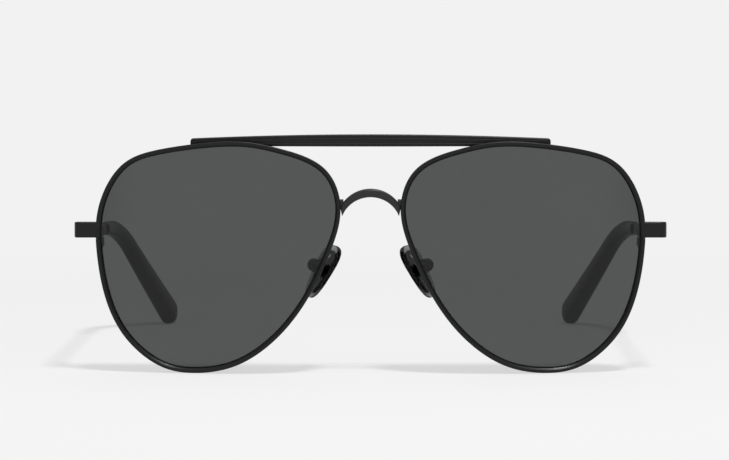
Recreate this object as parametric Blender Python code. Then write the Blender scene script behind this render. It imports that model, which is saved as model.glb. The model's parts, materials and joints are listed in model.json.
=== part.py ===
"""Aviator sunglasses, modelled as the pieces they are assembled from.

The front has its own frame: X to the wearer's left, Y back towards the ears, Z up, with the origin
midway between the lens boxes at the depth of the lens vertices. Temples and nose pads are modelled in
the frames of the empties they turn with. The left side is modelled, and the right side mirrors it.
The root empty leans the whole pair until it stands on its rims and temple tips.
"""

import math

import bmesh
import bpy
import numpy as np
from mathutils import Matrix, Vector

MM = 0.001
DEGREE = math.pi / 180.0

# Clearances
SOLDER_GAP = 0.06 * MM  # left open in every soldered or seated joint
RUNNING_GAP = 0.08 * MM  # round pins and between knuckles

# Lenses
LENS_WIDTH = 58.95 * MM
LENS_HEIGHT = 56.0 * MM
LENS_THICKNESS = 1.6 * MM
LENS_CURVE_RADIUS = 88.0 * MM
NOSE_GAP = 16.75 * MM  # between the two lens boxes
FACE_FORM = 5.0 * DEGREE  # each lens turns back this far at its outer side
BEVEL_HEIGHT = 0.58 * MM  # the edge bevel that sits in the rim's groove
BEVEL_HALF_WIDTH = 0.45 * MM
BEVEL_SETBACK = 0.6 * MM  # from the lens's front to the bevel's ridge

# Lens outline, as shares of half its width towards the nose and half its height
LENS_OUTLINE = (
    (1.00, 0.43),
    (0.865, 0.775),
    (0.503, 0.943),
    (0.095, 1.00),
    (-0.475, 0.925),
    (-0.815, 0.761),
    (-0.985, 0.41),
    (-0.994, 0.024),
    (-0.933, -0.337),
    (-0.785, -0.680),
    (-0.513, -0.934),
    (-0.206, -1.00),
    (0.171, -0.915),
    (0.531, -0.626),
    (0.773, -0.265),
    (0.920, 0.074),
)

# Rims
RIM_WALL = 0.65 * MM  # metal outside the lens edge
RIM_DEPTH = 2.4 * MM
RIM_LIP = 0.7 * MM  # rim front stands this far ahead of the lens front
RIM_INNER_CHAMFER = 0.35 * MM
RIM_EDGE_CHAMFER = 0.12 * MM
RIM_SLOPE = 7.0 * DEGREE  # the rim opens out this much towards its front
RIM_SPLIT = 0.2 * MM

# Bridge: the strap between an upper and a lower arc
BRIDGE_TOP = 17.2 * MM  # above the lens centres
BRIDGE_THICKNESS = 2.1 * MM
BRIDGE_DEPTH = 1.8 * MM
BRIDGE_SPREAD = 0.55 * MM  # the upper arc's radius is half the gap between the rims and this
BRIDGE_TAPER = 0.86 * MM  # the lower arc's radius is smaller by this
BRIDGE_UPPER_STOP = 0.3 * MM  # the upper edge ends this far from the rims
BRIDGE_LOWER_STOP = 0.8 * MM
BRIDGE_BOW = 0.8 * MM  # the middle stands forward
BRIDGE_FOOT_DROP = 3.7 * MM  # the feet's middle, below the bridge's top
BRIDGE_FOOT_HEIGHT = 2.0 * MM
BRIDGE_FOOT_DEPTH = 1.2 * MM
BRIDGE_FOOT_REACH = 0.8 * MM  # the feet start this far inside the strap's upper ends
BRIDGE_CHAMFER = 0.3 * MM

# Brow bar
BAR_OVERHANG = 6.2 * MM  # past the lens centres
BAR_RISE = 2.35 * MM  # top edge above the lens box, in the middle
BAR_HEIGHT = 2.95 * MM
BAR_DROP = 1.2 * MM  # the top edge falls this far to its ends
BAR_DEPTH = 1.4 * MM
BAR_SEAT = 0.5 * MM  # the rims sit this deep in its front
BAR_PLAN_RADIUS = 490.0 * MM
BAR_CHAMFER = 0.3 * MM
BAR_END_RADIUS = 0.6 * MM

# Endpieces
STRIP_THICKNESS = 1.3 * MM
STRIP_HEIGHT = 3.9 * MM
STRIP_CHAMFER = 0.3 * MM
ENDPIECE_REACH = 5.2 * MM  # past the rim
ENDPIECE_LEVEL = 6.5 * MM  # above the lens centres
ENDPIECE_RETURN = 7.0 * MM  # from its front plate back to the hinge axis
ENDPIECE_CORNER = 1.6 * MM
ENDPIECE_SINK = 0.6 * MM  # runs this far into the rim before it is fitted to it

# Closing blocks and their screw
BLOCK_HEIGHT = 2.2 * MM
BLOCK_WIDTH = 1.8 * MM
BLOCK_DEPTH = 2.4 * MM
BLOCK_SINK = 0.3 * MM  # runs this far into the rim before it is fitted to it
BLOCK_CORNER = 0.4 * MM
RIM_SCREW_RADIUS = 0.5 * MM
RIM_SCREW_HEAD_RADIUS = 0.8 * MM
RIM_SCREW_HEAD = 0.45 * MM

# Screw heads, as shares of their height and radius
HEAD_EDGE = 0.35
SLOT_DEPTH = 0.5
SLOT_HALF_WIDTH = 0.16

# Hinges
HINGE_HEIGHT = 3.0 * MM
HINGE_OFFSET = 1.75 * MM  # from the strip's inner face to the axis
KNUCKLE_RADIUS = 1.2 * MM
LEAF_THICKNESS = 0.7 * MM
FRONT_LEAF_LENGTH = 4.6 * MM
TEMPLE_LEAF_LENGTH = 6.5 * MM
HINGE_SCREW_RADIUS = 0.6 * MM
HINGE_SCREW_HEAD_RADIUS = 1.0 * MM
HINGE_SCREW_HEAD = 0.35 * MM
HINGE_SCREW_TAIL = 0.15 * MM
BUTT_GAP = 0.1 * MM  # between endpiece and temple when open

# Temples
PANTOSCOPIC = 7.4 * DEGREE  # slope of the temples against the front's normal
TEMPLE_LENGTH = 139.0 * MM  # from the hinge axis along the temple to its end
TIP_START = 80.0 * MM
BEND_START = 95.0 * MM
BEND_RADIUS = 19.0 * MM
BEND_ANGLE = 44.5 * DEGREE
TIP_INSET = 15.7 * MM  # the end of the tip leans in by this
TIP_LEAN_EASE = 1.07  # above 1 the lean starts gently
LEAN_ROUNDING = 7.0 * MM  # the lean sets in over this length on either side of the bend's start
ARM_END_HEIGHT = 3.0 * MM
CORE_HEIGHT = 1.7 * MM
CORE_THICKNESS = 1.0 * MM
CORE_CHAMFER = 0.25 * MM
CORE_LENGTH = 44.0 * MM
TIP_MOUTH_HEIGHT = 3.4 * MM
TIP_MOUTH_THICKNESS = 3.0 * MM
TIP_END_HEIGHT = 8.5 * MM
TIP_END_THICKNESS = 5.2 * MM
TIP_FLARE = 1.35  # above 1 the tip grows taller mostly near its end
TIP_SQUARENESS = 0.75  # of its section: 1 is an ellipse, less is squarer
TIP_ROUNDING = 3.2 * MM

# Nose pads
PAD_LEVEL = -2.6 * MM  # the rocking axis, above the lens centres
PAD_BACK = 7.8 * MM  # the rocking axis behind the rim
PAD_OUT = 1.15 * MM  # the rocking axis outside the rim's edge
PAD_FRONTAL_ANGLE = 32.0 * DEGREE
PAD_SPLAY = 30.0 * DEGREE
PAD_LENGTH = 14.5 * MM
PAD_WIDTH = 7.5 * MM
PAD_THICKNESS = 2.2 * MM
PAD_SINK = 0.4 * MM  # the pad's middle lies below the rocking axis
PAD_FULLNESS = 0.28  # the upper end is wider by this share, and the lower end narrower
PAD_SQUARENESS = 0.75  # 1 is an ellipse, less is squarer
PAD_EDGE = ((0.0, 0.84), (0.14, 0.96), (0.45, 1.0), (0.78, 0.95), (0.95, 0.78))  # height and size shares
PAD_ROOM = 0.8 * MM  # between box and pad, to rock in
CORE_PLATE_LENGTH = 11.6 * MM
CORE_PLATE_WIDTH = 5.8 * MM
CORE_PLATE_THICKNESS = 0.5 * MM
CORE_PLATE_COVER = 0.75 * MM  # pad material behind the plate
TAB_THICKNESS = 1.2 * MM
TAB_RADIUS = 0.9 * MM
PAD_BOX_WIDTH = 3.0 * MM
PAD_BOX_LENGTH = 3.2 * MM
PAD_BOX_FLOOR = 0.6 * MM
PAD_SCREW_RADIUS = 0.4 * MM
PAD_SCREW_HEAD_RADIUS = 0.75 * MM
PAD_SCREW_HEAD = 0.35 * MM
PAD_WIRE_RADIUS = 0.5 * MM
PAD_WIRE_FOOT = 1.5 * MM  # the arm's foot on the rim, above the rocking axis
PAD_WIRE_REACH = 2.0 * MM  # how far the arm runs straight out of its two ends

# Mesh density
SLOPE_STEP = 0.5 * MM  # directions along a curve are taken over this much of it, both ways
RIM_STATIONS = 72
OUTLINE_STEPS = 160
ROUND_SIDES = 16
PAD_SIDES = 24
TIP_SIDES = 14
TIP_ROUNDING_SWEEP = 80 * DEGREE
TIP_ROUNDING_STEPS = 5
CORE_STATIONS = 12
TIP_STATIONS = 14

# Worked out from the sizes above
LENS_CENTRE = NOSE_GAP / 2 + LENS_WIDTH / 2
RIM_FRONT = RIM_LIP + BEVEL_SETBACK  # ahead of the lens's ridge
RIM_BACK = RIM_DEPTH - RIM_FRONT
LENS_SEAT = Matrix.Translation((LENS_CENTRE, 0, 0)) @ Matrix.Rotation(FACE_FORM, 4, "Z")
SPLIT_LEVEL = ENDPIECE_LEVEL - STRIP_HEIGHT / 2 - RIM_SPLIT
TEMPORAL, NASAL = 1, -1


# Meshes and objects

def loft(rings, closed=False, start_tip=None, end_tip=None):
    """Vertices and faces through equal rings of points, capped by flat ends or by tip points."""
    count = len(rings[0])
    verts = [tuple(point) for ring in rings for point in ring]
    faces = []
    for index in range(len(rings) if closed else len(rings) - 1):
        near = index * count
        far = (index + 1) % len(rings) * count
        for side in range(count):
            after = (side + 1) % count
            faces.append((near + side, near + after, far + after, far + side))
    if not closed:
        for first, tip in ((0, start_tip), ((len(rings) - 1) * count, end_tip)):
            if tip is None:
                faces.append(tuple(range(first, first + count)))
                continue
            verts.append(tuple(tip))
            for side in range(count):
                faces.append((first + side, first + (side + 1) % count, len(verts) - 1))
    return verts, faces


def mapped(shape, origin, x_axis, y_axis, z_axis):
    """A shape moved from a local frame to the one its origin and axes are given in."""
    verts, faces = shape
    axes = np.array((x_axis, y_axis, z_axis))
    return [tuple(np.array(origin) + np.array(vert) @ axes) for vert in verts], faces


def new_object(shape):
    """A closed mesh object with its faces pointing out."""
    mesh = bpy.data.meshes.new("shape")
    mesh.from_pydata(shape[0], [], shape[1])
    work = bmesh.new()
    work.from_mesh(mesh)
    bmesh.ops.recalc_face_normals(work, faces=work.faces)
    work.to_mesh(mesh)
    work.free()
    item = bpy.data.objects.new("shape", mesh)
    bpy.context.scene.collection.objects.link(item)
    return item


def combine(target, tool, operation):
    """Apply a Boolean of two objects to the first, and drop the second."""
    modifier = target.modifiers.new("combine", "BOOLEAN")
    modifier.operation = operation
    modifier.solver = "EXACT"
    modifier.object = tool
    graph = bpy.context.evaluated_depsgraph_get()
    mesh = bpy.data.meshes.new_from_object(target.evaluated_get(graph))
    target.modifiers.clear()
    target.data = mesh
    bpy.data.objects.remove(tool)
    return target


def name_piece(item, name, parent, finish):
    """Give an object its name, parent and material."""
    item.name = name
    item.data.name = name
    item.parent = parent
    colour, metallic, roughness = finish
    material = bpy.data.materials.new(name)
    material.use_nodes = True
    shader = material.node_tree.nodes["Principled BSDF"]
    shader.inputs["Base Color"].default_value = (*colour, 1.0)
    shader.inputs["Metallic"].default_value = metallic
    shader.inputs["Roughness"].default_value = roughness
    item.data.materials.clear()
    item.data.materials.append(material)
    item.data.shade_smooth()
    item.data.set_sharp_from_angle(angle=30 * DEGREE)
    return item


def pair(name, item, parents, finish):
    """Name a left piece, and make the right one as its mirror image."""
    mesh = item.data.copy()
    mesh.transform(Matrix.Scale(-1, 4, (1, 0, 0)))
    mesh.flip_normals()
    other = bpy.data.objects.new("shape", mesh)
    bpy.context.scene.collection.objects.link(other)
    return (
        name_piece(item, name + "_left", parents[0], finish),
        name_piece(other, name + "_right", parents[1], finish),
    )


def empty_pair(name, parent, place, tilt=0.0):
    """Two mirrored empties, turned about X, for the pieces that move."""
    empties = []
    for side, sign in (("left", 1), ("right", -1)):
        empty = bpy.data.objects.new(name + "_" + side, None)
        bpy.context.scene.collection.objects.link(empty)
        empty.parent = parent
        empty.location = (sign * place[0], place[1], place[2])
        empty.rotation_euler = (tilt, 0, 0)
        empties.append(empty)
    return empties


# Flat outlines

def rectangle(half_width, half_height, chamfer):
    """Eight corners of a rectangle with chamfered corners."""
    inner_width = half_width - chamfer
    inner_height = half_height - chamfer
    return [
        (half_width, -inner_height),
        (half_width, inner_height),
        (inner_width, half_height),
        (-inner_width, half_height),
        (-half_width, inner_height),
        (-half_width, -inner_height),
        (-inner_width, -half_height),
        (inner_width, -half_height),
    ]


def rounded_rectangle(half_width, half_height, radius):
    """A rectangle with round corners, of ROUND_SIDES points."""
    per_corner = ROUND_SIDES // 4
    points = []
    for corner, (sign_x, sign_y) in enumerate(((1, 1), (-1, 1), (-1, -1), (1, -1))):
        for step in range(per_corner):
            angle = (corner + step / (per_corner - 1)) * math.pi / 2
            x = sign_x * (half_width - radius) + radius * math.cos(angle)
            y = sign_y * (half_height - radius) + radius * math.sin(angle)
            points.append((x, y))
    return points


def circle(radius):
    """A circle whose points match those of rounded_rectangle."""
    turns = [(index + 0.5) / ROUND_SIDES * 2 * math.pi for index in range(ROUND_SIDES)]
    return [(radius * math.cos(turn), radius * math.sin(turn)) for turn in turns]


def at_height(outline, height):
    return [(x, y, height) for x, y in outline]


def prism(outline, low, high):
    return loft([at_height(outline, low), at_height(outline, high)])


def collar(outer, inner, low, high):
    """A prism with a hole through it."""
    return loft(
        [at_height(outer, low), at_height(outer, high), at_height(inner, high), at_height(inner, low)],
        closed=True,
    )


def box(low, high):
    outline = [(low[0], low[1]), (high[0], low[1]), (high[0], high[1]), (low[0], high[1])]
    return prism(outline, low[2], high[2])


def screw(radius, length, head_radius, head_height):
    """A slotted screw along Z: its head sits on Z = 0 and its shank runs down."""
    edge = head_height * HEAD_EDGE
    rings = [
        at_height(circle(radius), -length),
        at_height(circle(radius), 0),
        at_height(circle(head_radius), 0),
        at_height(circle(head_radius), head_height - edge),
        at_height(circle(head_radius - edge), head_height),
    ]
    slot_half_width = head_radius * SLOT_HALF_WIDTH
    slot = box(
        (-head_radius * 2, -slot_half_width, head_height * (1 - SLOT_DEPTH)),
        (head_radius * 2, slot_half_width, head_height * 2),
    )
    return combine(new_object(loft(rings)), new_object(slot), "DIFFERENCE")


def carried(item, origin, x_axis, y_axis, z_axis):
    """A finished object moved into the frame its origin and axes are given in."""
    matrix = Matrix((x_axis, y_axis, z_axis)).transposed().to_4x4()
    item.data.transform(Matrix.Translation(Vector(origin)) @ matrix)
    if matrix.determinant() < 0:
        item.data.flip_normals()
    return item


# The lens edge

def closed_spline(points, steps):
    """A smooth closed curve through points: a periodic cubic spline."""
    points = np.array(points)
    count = len(points)
    unit = np.eye(count)
    system = 4 * unit + np.roll(unit, 1, axis=1) + np.roll(unit, -1, axis=1)
    after = np.roll(points, -1, axis=0)
    slopes = np.linalg.solve(system, 3 * (after - np.roll(points, 1, axis=0)))
    after_slopes = np.roll(slopes, -1, axis=0)
    spans = []
    for start, start_slope, end, end_slope in zip(points, slopes, after, after_slopes):
        for share in np.arange(steps) / steps:
            rest = 1 - share
            spans.append(
                start * (1 + 2 * share) * rest**2
                + start_slope * share * rest**2
                + end * share**2 * (1 + 2 * rest)
                - end_slope * share**2 * rest
            )
    return np.array(spans)


def lens_edge():
    """Points round the lens edge in the lens frame, fitted to the lens box, and the lengths to them."""
    curve = closed_spline(LENS_OUTLINE, OUTLINE_STEPS)
    low = curve.min(axis=0)
    high = curve.max(axis=0)
    curve = (curve - (low + high) / 2) / (high - low) * (LENS_WIDTH, LENS_HEIGHT)
    across = -curve[:, 0]
    up = curve[:, 1]
    back = LENS_CURVE_RADIUS - np.sqrt(LENS_CURVE_RADIUS**2 - across**2 - up**2)
    points = np.column_stack((across, back, up))
    points = np.vstack((points, points[:1]))
    lengths = np.concatenate(((0.0,), np.cumsum(np.linalg.norm(np.diff(points, axis=0), axis=1))))
    return points, lengths


EDGE_POINTS, EDGE_LENGTHS = lens_edge()
EDGE_TOTAL = EDGE_LENGTHS[-1]


def edge_point(length):
    return np.array([np.interp(length % EDGE_TOTAL, EDGE_LENGTHS, axis) for axis in EDGE_POINTS.T])


def edge_length(level, side):
    """The length round the edge to the point at a level, on the temporal or nasal side."""
    on_side = EDGE_POINTS[:, 0] * side > 0
    offset = np.where(on_side, np.abs(EDGE_POINTS[:, 2] - level), np.inf)
    return EDGE_LENGTHS[np.argmin(offset)]


def edge_frame(length):
    """Point, outward, back and along directions at a length round the edge, in the lens frame."""
    point = edge_point(length)
    axis = np.array((0.0, 1.0, 0.0))
    along = edge_point(length + SLOPE_STEP) - edge_point(length - SLOPE_STEP)
    level = np.cross(along, axis)
    level /= np.linalg.norm(level)
    if level @ point < 0:
        level = -level
    outward = math.cos(RIM_SLOPE) * level + math.sin(RIM_SLOPE) * axis
    back = math.cos(RIM_SLOPE) * axis - math.sin(RIM_SLOPE) * level
    return point, outward, back, np.cross(back, outward)


def edge_ring(length, section):
    """A section of outward and back offsets, set on the edge."""
    point, outward, back, _ = edge_frame(length)
    return [point + offset * outward + depth * back for offset, depth in section]


def rim_place(level, side, offset, depth):
    """A point of the rim in the front frame, and the rim's outward, back and along directions there."""
    point, outward, back, along = edge_frame(edge_length(level, side))
    turn = LENS_SEAT.to_3x3()
    place = LENS_SEAT @ Vector(point + offset * outward + depth * back)
    return place, turn @ Vector(outward), turn @ Vector(back), turn @ Vector(along)


def rim_lengths():
    """Lengths round the edge at the rim's stations, from one side of its split to the other."""
    start = edge_length(SPLIT_LEVEL, TEMPORAL)
    inner = start + np.arange(1, RIM_STATIONS) * EDGE_TOTAL / RIM_STATIONS
    return [start + RIM_SPLIT / 2, *inner, start + EDGE_TOTAL - RIM_SPLIT / 2]


# The front

def make_rim():
    """Split ring with a V groove for the lens and a chamfered front."""
    mouth = BEVEL_HALF_WIDTH + 2 * SOLDER_GAP
    section = [
        (-BEVEL_HEIGHT, -mouth),
        (-BEVEL_HEIGHT, -RIM_FRONT + RIM_INNER_CHAMFER),
        (-BEVEL_HEIGHT + RIM_INNER_CHAMFER, -RIM_FRONT),
        (RIM_WALL - RIM_EDGE_CHAMFER, -RIM_FRONT),
        (RIM_WALL, -RIM_FRONT + RIM_EDGE_CHAMFER),
        (RIM_WALL, RIM_BACK - RIM_EDGE_CHAMFER),
        (RIM_WALL - RIM_EDGE_CHAMFER, RIM_BACK),
        (-BEVEL_HEIGHT + RIM_EDGE_CHAMFER, RIM_BACK),
        (-BEVEL_HEIGHT, RIM_BACK - RIM_EDGE_CHAMFER),
        (-BEVEL_HEIGHT, mouth),
        (SOLDER_GAP, 0),
    ]
    item = new_object(loft([edge_ring(length, section) for length in rim_lengths()]))
    item.data.transform(LENS_SEAT)
    return item


def make_rim_envelope():
    """The space the rim fills, grown by the solder gap: what is soldered to the rim is cut by it."""
    low = -BEVEL_HEIGHT - SOLDER_GAP
    high = RIM_WALL + SOLDER_GAP
    front = -RIM_FRONT - SOLDER_GAP
    back = RIM_BACK + SOLDER_GAP
    section = [(low, front), (high, front), (high, back), (low, back)]
    rings = [edge_ring(length, section) for length in rim_lengths()]
    item = new_object(loft(rings, closed=True))
    item.data.transform(LENS_SEAT)
    return item


def on_dome(point, share, depth):
    """The point above or below a share of another's height and width, on a lens surface at some depth."""
    across = point[0] * share
    up = point[2] * share
    radius = LENS_CURVE_RADIUS - depth
    return across, LENS_CURVE_RADIUS - math.sqrt(radius**2 - across**2 - up**2), up


def make_lens():
    """Curved lens with a bevelled edge."""
    inset = -BEVEL_HEIGHT - SOLDER_GAP
    bevel = [(inset, -BEVEL_HALF_WIDTH), (0, 0), (inset, BEVEL_HALF_WIDTH)]
    lengths = rim_lengths()[:-1]
    lengths[0] -= RIM_SPLIT / 2
    bevel_rings = [[edge_ring(length, [place])[0] for length in lengths] for place in bevel]
    front = -BEVEL_SETBACK
    back = LENS_THICKNESS - BEVEL_SETBACK
    shares = (1 / 3, 2 / 3, 1)
    front_edge = [edge_ring(length, [(inset, front)])[0] for length in lengths]
    back_edge = [edge_ring(length, [(inset, back)])[0] for length in lengths]
    front_rings = [[on_dome(point, share, front) for point in front_edge] for share in shares]
    back_rings = [[on_dome(point, share, back) for point in back_edge] for share in shares]
    rings = front_rings + bevel_rings + back_rings[::-1]
    item = new_object(loft(rings, start_tip=(0, front, 0), end_tip=(0, back, 0)))
    item.data.transform(LENS_SEAT)
    return item


def make_bridge():
    """Arched strap that stops short of the rims, with a foot at each end to join it to them."""
    half_gap = NOSE_GAP / 2 - RIM_WALL
    upper_radius = half_gap + BRIDGE_SPREAD
    lower_radius = upper_radius - BRIDGE_TAPER
    upper_sweep = math.asin((half_gap - BRIDGE_UPPER_STOP) / upper_radius)
    lower_sweep = math.asin((half_gap - BRIDGE_LOWER_STOP) / lower_radius)
    upper_centre = BRIDGE_TOP - upper_radius
    lower_centre = BRIDGE_TOP - BRIDGE_THICKNESS - lower_radius
    foot_level = BRIDGE_TOP - BRIDGE_FOOT_DROP
    foot_end = rim_place(foot_level, NASAL, 0, 0)[0]
    section_stations = 25
    rings = []
    for share in np.linspace(-1, 1, section_stations):
        upper_angle = share * upper_sweep
        lower_angle = share * lower_sweep
        upper = upper_radius * np.array((math.sin(upper_angle), 0, math.cos(upper_angle)))
        lower = lower_radius * np.array((math.sin(lower_angle), 0, math.cos(lower_angle)))
        upper += (0, 0, upper_centre)
        lower += (0, 0, lower_centre)
        middle = (upper + lower) / 2 + (0, foot_end.y - BRIDGE_BOW * (1 - share**2), 0)
        half = (upper - lower) / 2
        thickness = np.linalg.norm(half)
        section = rectangle(BRIDGE_DEPTH / 2, thickness, min(BRIDGE_CHAMFER, thickness / 2))
        rings.append([middle + (0, y, 0) + half * (rise / thickness) for y, rise in section])
    strap = new_object(loft(rings))
    outline = rectangle(BRIDGE_FOOT_DEPTH / 2, BRIDGE_FOOT_HEIGHT / 2, BRIDGE_CHAMFER)
    foot_start = half_gap - BRIDGE_UPPER_STOP - BRIDGE_FOOT_REACH
    for side in (-1, 1):
        ends = sorted((side * foot_start, side * foot_end.x))
        foot = mapped(prism(outline, *ends), (0, foot_end.y, foot_level), (0, 1, 0), (0, 0, 1), (1, 0, 0))
        combine(strap, new_object(foot), "UNION")
    return strap


def make_brow_bar():
    """Strip with an arched top edge, bent to follow the backs of the rims."""
    half_length = LENS_CENTRE + BAR_OVERHANG
    top = LENS_HEIGHT / 2 + BAR_RISE
    bottom = top - BAR_HEIGHT
    top_length = EDGE_LENGTHS[np.argmax(EDGE_POINTS[:, 2])]
    point, _, back, _ = edge_frame(top_length)
    touch = LENS_SEAT @ Vector(point + back * RIM_BACK)
    inset = BAR_END_RADIUS * (1 - math.cos(math.pi / 4))
    ends = [(half_length, BAR_END_RADIUS), (half_length - inset, inset), (half_length - BAR_END_RADIUS, 0)]
    middle_stations = 21
    middle = [(x, 0) for x in np.linspace(-1, 1, middle_stations)[1:-1] * (half_length - BAR_END_RADIUS)]
    stations = [(-x, cut) for x, cut in ends] + middle + ends[::-1]
    rings = []
    for x, cut in stations:
        front = touch.y - BAR_SEAT + (x**2 - touch.x**2) / (2 * BAR_PLAN_RADIUS)
        high = top - BAR_DROP * (x / half_length) ** 2 - cut
        section = rectangle(BAR_DEPTH / 2, (high - bottom) / 2, BAR_CHAMFER)
        rings.append([(x, front + BAR_DEPTH / 2 + y, (high + bottom) / 2 + z) for y, z in section])
    return new_object(loft(rings))


def endpiece_plan():
    """Outer X, front Y of the endpiece, and the hinge axis, in the front frame."""
    corner = rim_place(ENDPIECE_LEVEL, TEMPORAL, RIM_WALL, -RIM_FRONT)[0]
    outer = corner.x + ENDPIECE_REACH
    front = corner.y
    middle = front + STRIP_THICKNESS / 2
    hinge = Vector(
        (
            outer - STRIP_THICKNESS - HINGE_OFFSET,
            middle + ENDPIECE_RETURN * math.cos(PANTOSCOPIC),
            ENDPIECE_LEVEL - ENDPIECE_RETURN * math.sin(PANTOSCOPIC),
        )
    )
    return corner.x, outer, front, hinge


def make_endpiece():
    """Strip that leaves the rim sideways and turns back to the hinge, sloping with the temple."""
    rim_x, outer, front, hinge = endpiece_plan()
    section = rectangle(STRIP_THICKNESS / 2, STRIP_HEIGHT / 2, STRIP_CHAMFER)
    middle = front + STRIP_THICKNESS / 2
    arc_radius = ENDPIECE_CORNER - STRIP_THICKNESS / 2
    arc_x = outer - ENDPIECE_CORNER
    arc_y = front + ENDPIECE_CORNER
    stations = [(rim_x - ENDPIECE_SINK, middle, 0.0)]
    corner_steps = 6
    for turn in np.linspace(0, math.pi / 2, corner_steps):
        stations.append((arc_x + arc_radius * math.sin(turn), arc_y - arc_radius * math.cos(turn), turn))
    butt = hinge.y - BUTT_GAP / 2 * math.cos(PANTOSCOPIC)
    stations.append((outer - STRIP_THICKNESS / 2, butt, math.pi / 2))
    rings = []
    for x, y, turn in stations:
        slope = PANTOSCOPIC * turn / (math.pi / 2)
        level = ENDPIECE_LEVEL - math.tan(PANTOSCOPIC) * (y - middle)
        outward = np.array((math.sin(turn), -math.cos(turn), 0))
        up = np.array((0, math.sin(slope), math.cos(slope)))
        rings.append([np.array((x, y, level)) + out * outward + rise * up for out, rise in section])
    return new_object(loft(rings))


def closing_frame():
    """The frame of the closing blocks: the split in the rim, with Z up along the rim."""
    place, outward, back, along = rim_place(SPLIT_LEVEL, TEMPORAL, 0, 0)
    if along.z < 0:
        along = -along
    middle = BLOCK_WIDTH / 2 - BEVEL_HEIGHT
    depth = RIM_BACK - BLOCK_SINK + BLOCK_DEPTH / 2
    return place + outward * middle + back * depth, outward, back, along


def make_closing_block(sign):
    """Upper (1) or lower (-1) block, bored for the rim screw."""
    outline = rounded_rectangle(BLOCK_WIDTH / 2, BLOCK_DEPTH / 2, BLOCK_CORNER)
    bore = circle(RIM_SCREW_RADIUS + RUNNING_GAP)
    near = sign * RIM_SPLIT / 2
    far = near + sign * BLOCK_HEIGHT
    shape = collar(outline, bore, min(near, far), max(near, far))
    return new_object(mapped(shape, *closing_frame()))


def make_rim_screw():
    """Screw up through both blocks, with its head under the lower one."""
    length = RIM_SPLIT + 2 * BLOCK_HEIGHT + SOLDER_GAP
    item = screw(RIM_SCREW_RADIUS, length, RIM_SCREW_HEAD_RADIUS, RIM_SCREW_HEAD)
    place, outward, back, along = closing_frame()
    head_seat = place - along * (RIM_SPLIT / 2 + BLOCK_HEIGHT + SOLDER_GAP)
    return carried(item, head_seat, outward, back, -along)


# Hinges, in the frame of the hinge axis: Y along the temple, Z along the axis

def knuckle_levels():
    """Low and high level of the lower, middle and upper knuckle."""
    height = (HINGE_HEIGHT - 2 * RUNNING_GAP) / 3
    lows = [-HINGE_HEIGHT / 2 + index * (height + RUNNING_GAP) for index in range(3)]
    return [(low, low + height) for low in lows]


def make_leaf(sign, length, levels):
    """Hinge leaf ahead of (-1) or behind (1) the axis: a plate, with knuckles at some levels."""
    outer = HINGE_OFFSET - SOLDER_GAP
    inner = outer - LEAF_THICKNESS
    bore_radius = HINGE_SCREW_RADIUS + RUNNING_GAP
    clear = KNUCKLE_RADIUS + RUNNING_GAP * 2
    inside = 0.05 * MM  # joined shapes overlap by this much, so that none of their faces coincide
    ends = sorted((sign * clear, sign * length))
    half_height = HINGE_HEIGHT / 2
    leaf = new_object(box((inner, ends[0], -half_height), (outer, ends[1], half_height)))
    for low, high in levels:
        ends = sorted((0.0, sign * (clear + inside)))
        neck_inner = bore_radius + inside
        neck = box((neck_inner, ends[0], low + inside), (outer - inside, ends[1], high - inside))
        knuckle = collar(circle(KNUCKLE_RADIUS), circle(bore_radius), low, high)
        combine(leaf, combine(new_object(knuckle), new_object(neck), "UNION"), "UNION")
    return leaf


def make_hinge_screw():
    """Screw down through the three knuckles."""
    length = HINGE_HEIGHT + SOLDER_GAP + HINGE_SCREW_TAIL
    item = screw(HINGE_SCREW_RADIUS, length, HINGE_SCREW_HEAD_RADIUS, HINGE_SCREW_HEAD)
    item.data.transform(Matrix.Translation((0, 0, HINGE_HEIGHT / 2 + SOLDER_GAP)))
    return item


# Temples, in the frame of the hinge axis

def leaning_length(length):
    """How far the temple has leaned in by a length, with the corner where that starts rounded off."""
    past = length - BEND_START
    if past > LEAN_ROUNDING:
        return past
    return max(past + LEAN_ROUNDING, 0.0) ** 2 / (4 * LEAN_ROUNDING)


def temple_point(length):
    """The temple's middle line: straight, then bent down over the ear and leaning in."""
    arc = BEND_RADIUS * BEND_ANGLE
    bent = min(max(length - BEND_START, 0.0), arc) / BEND_RADIUS
    beyond = max(length - BEND_START - arc, 0.0)
    straight = min(length, BEND_START)
    lean = leaning_length(length) / leaning_length(TEMPLE_LENGTH)
    return np.array(
        (
            HINGE_OFFSET + STRIP_THICKNESS / 2 - TIP_INSET * lean**TIP_LEAN_EASE,
            straight + BEND_RADIUS * math.sin(bent) + beyond * math.cos(BEND_ANGLE),
            -BEND_RADIUS * (1 - math.cos(bent)) - beyond * math.sin(BEND_ANGLE),
        )
    )


def temple_ring(length, section):
    """A section of outward and upward offsets, set square on the temple's middle line."""
    along = temple_point(length + SLOPE_STEP) - temple_point(length - SLOPE_STEP)
    along /= np.linalg.norm(along)
    outward = np.array((1.0, 0, 0)) - along * along[0]
    outward /= np.linalg.norm(outward)
    up = np.cross(outward, along)
    return [temple_point(length) + out * outward + rise * up for out, rise in section]


def temple_stations(start, end, bend_steps):
    """Lengths along the temple between two ends, close together where it bends."""
    bend = np.linspace(BEND_START - LEAN_ROUNDING, end, bend_steps)
    return [start, *[length for length in bend if length > start]]


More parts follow.
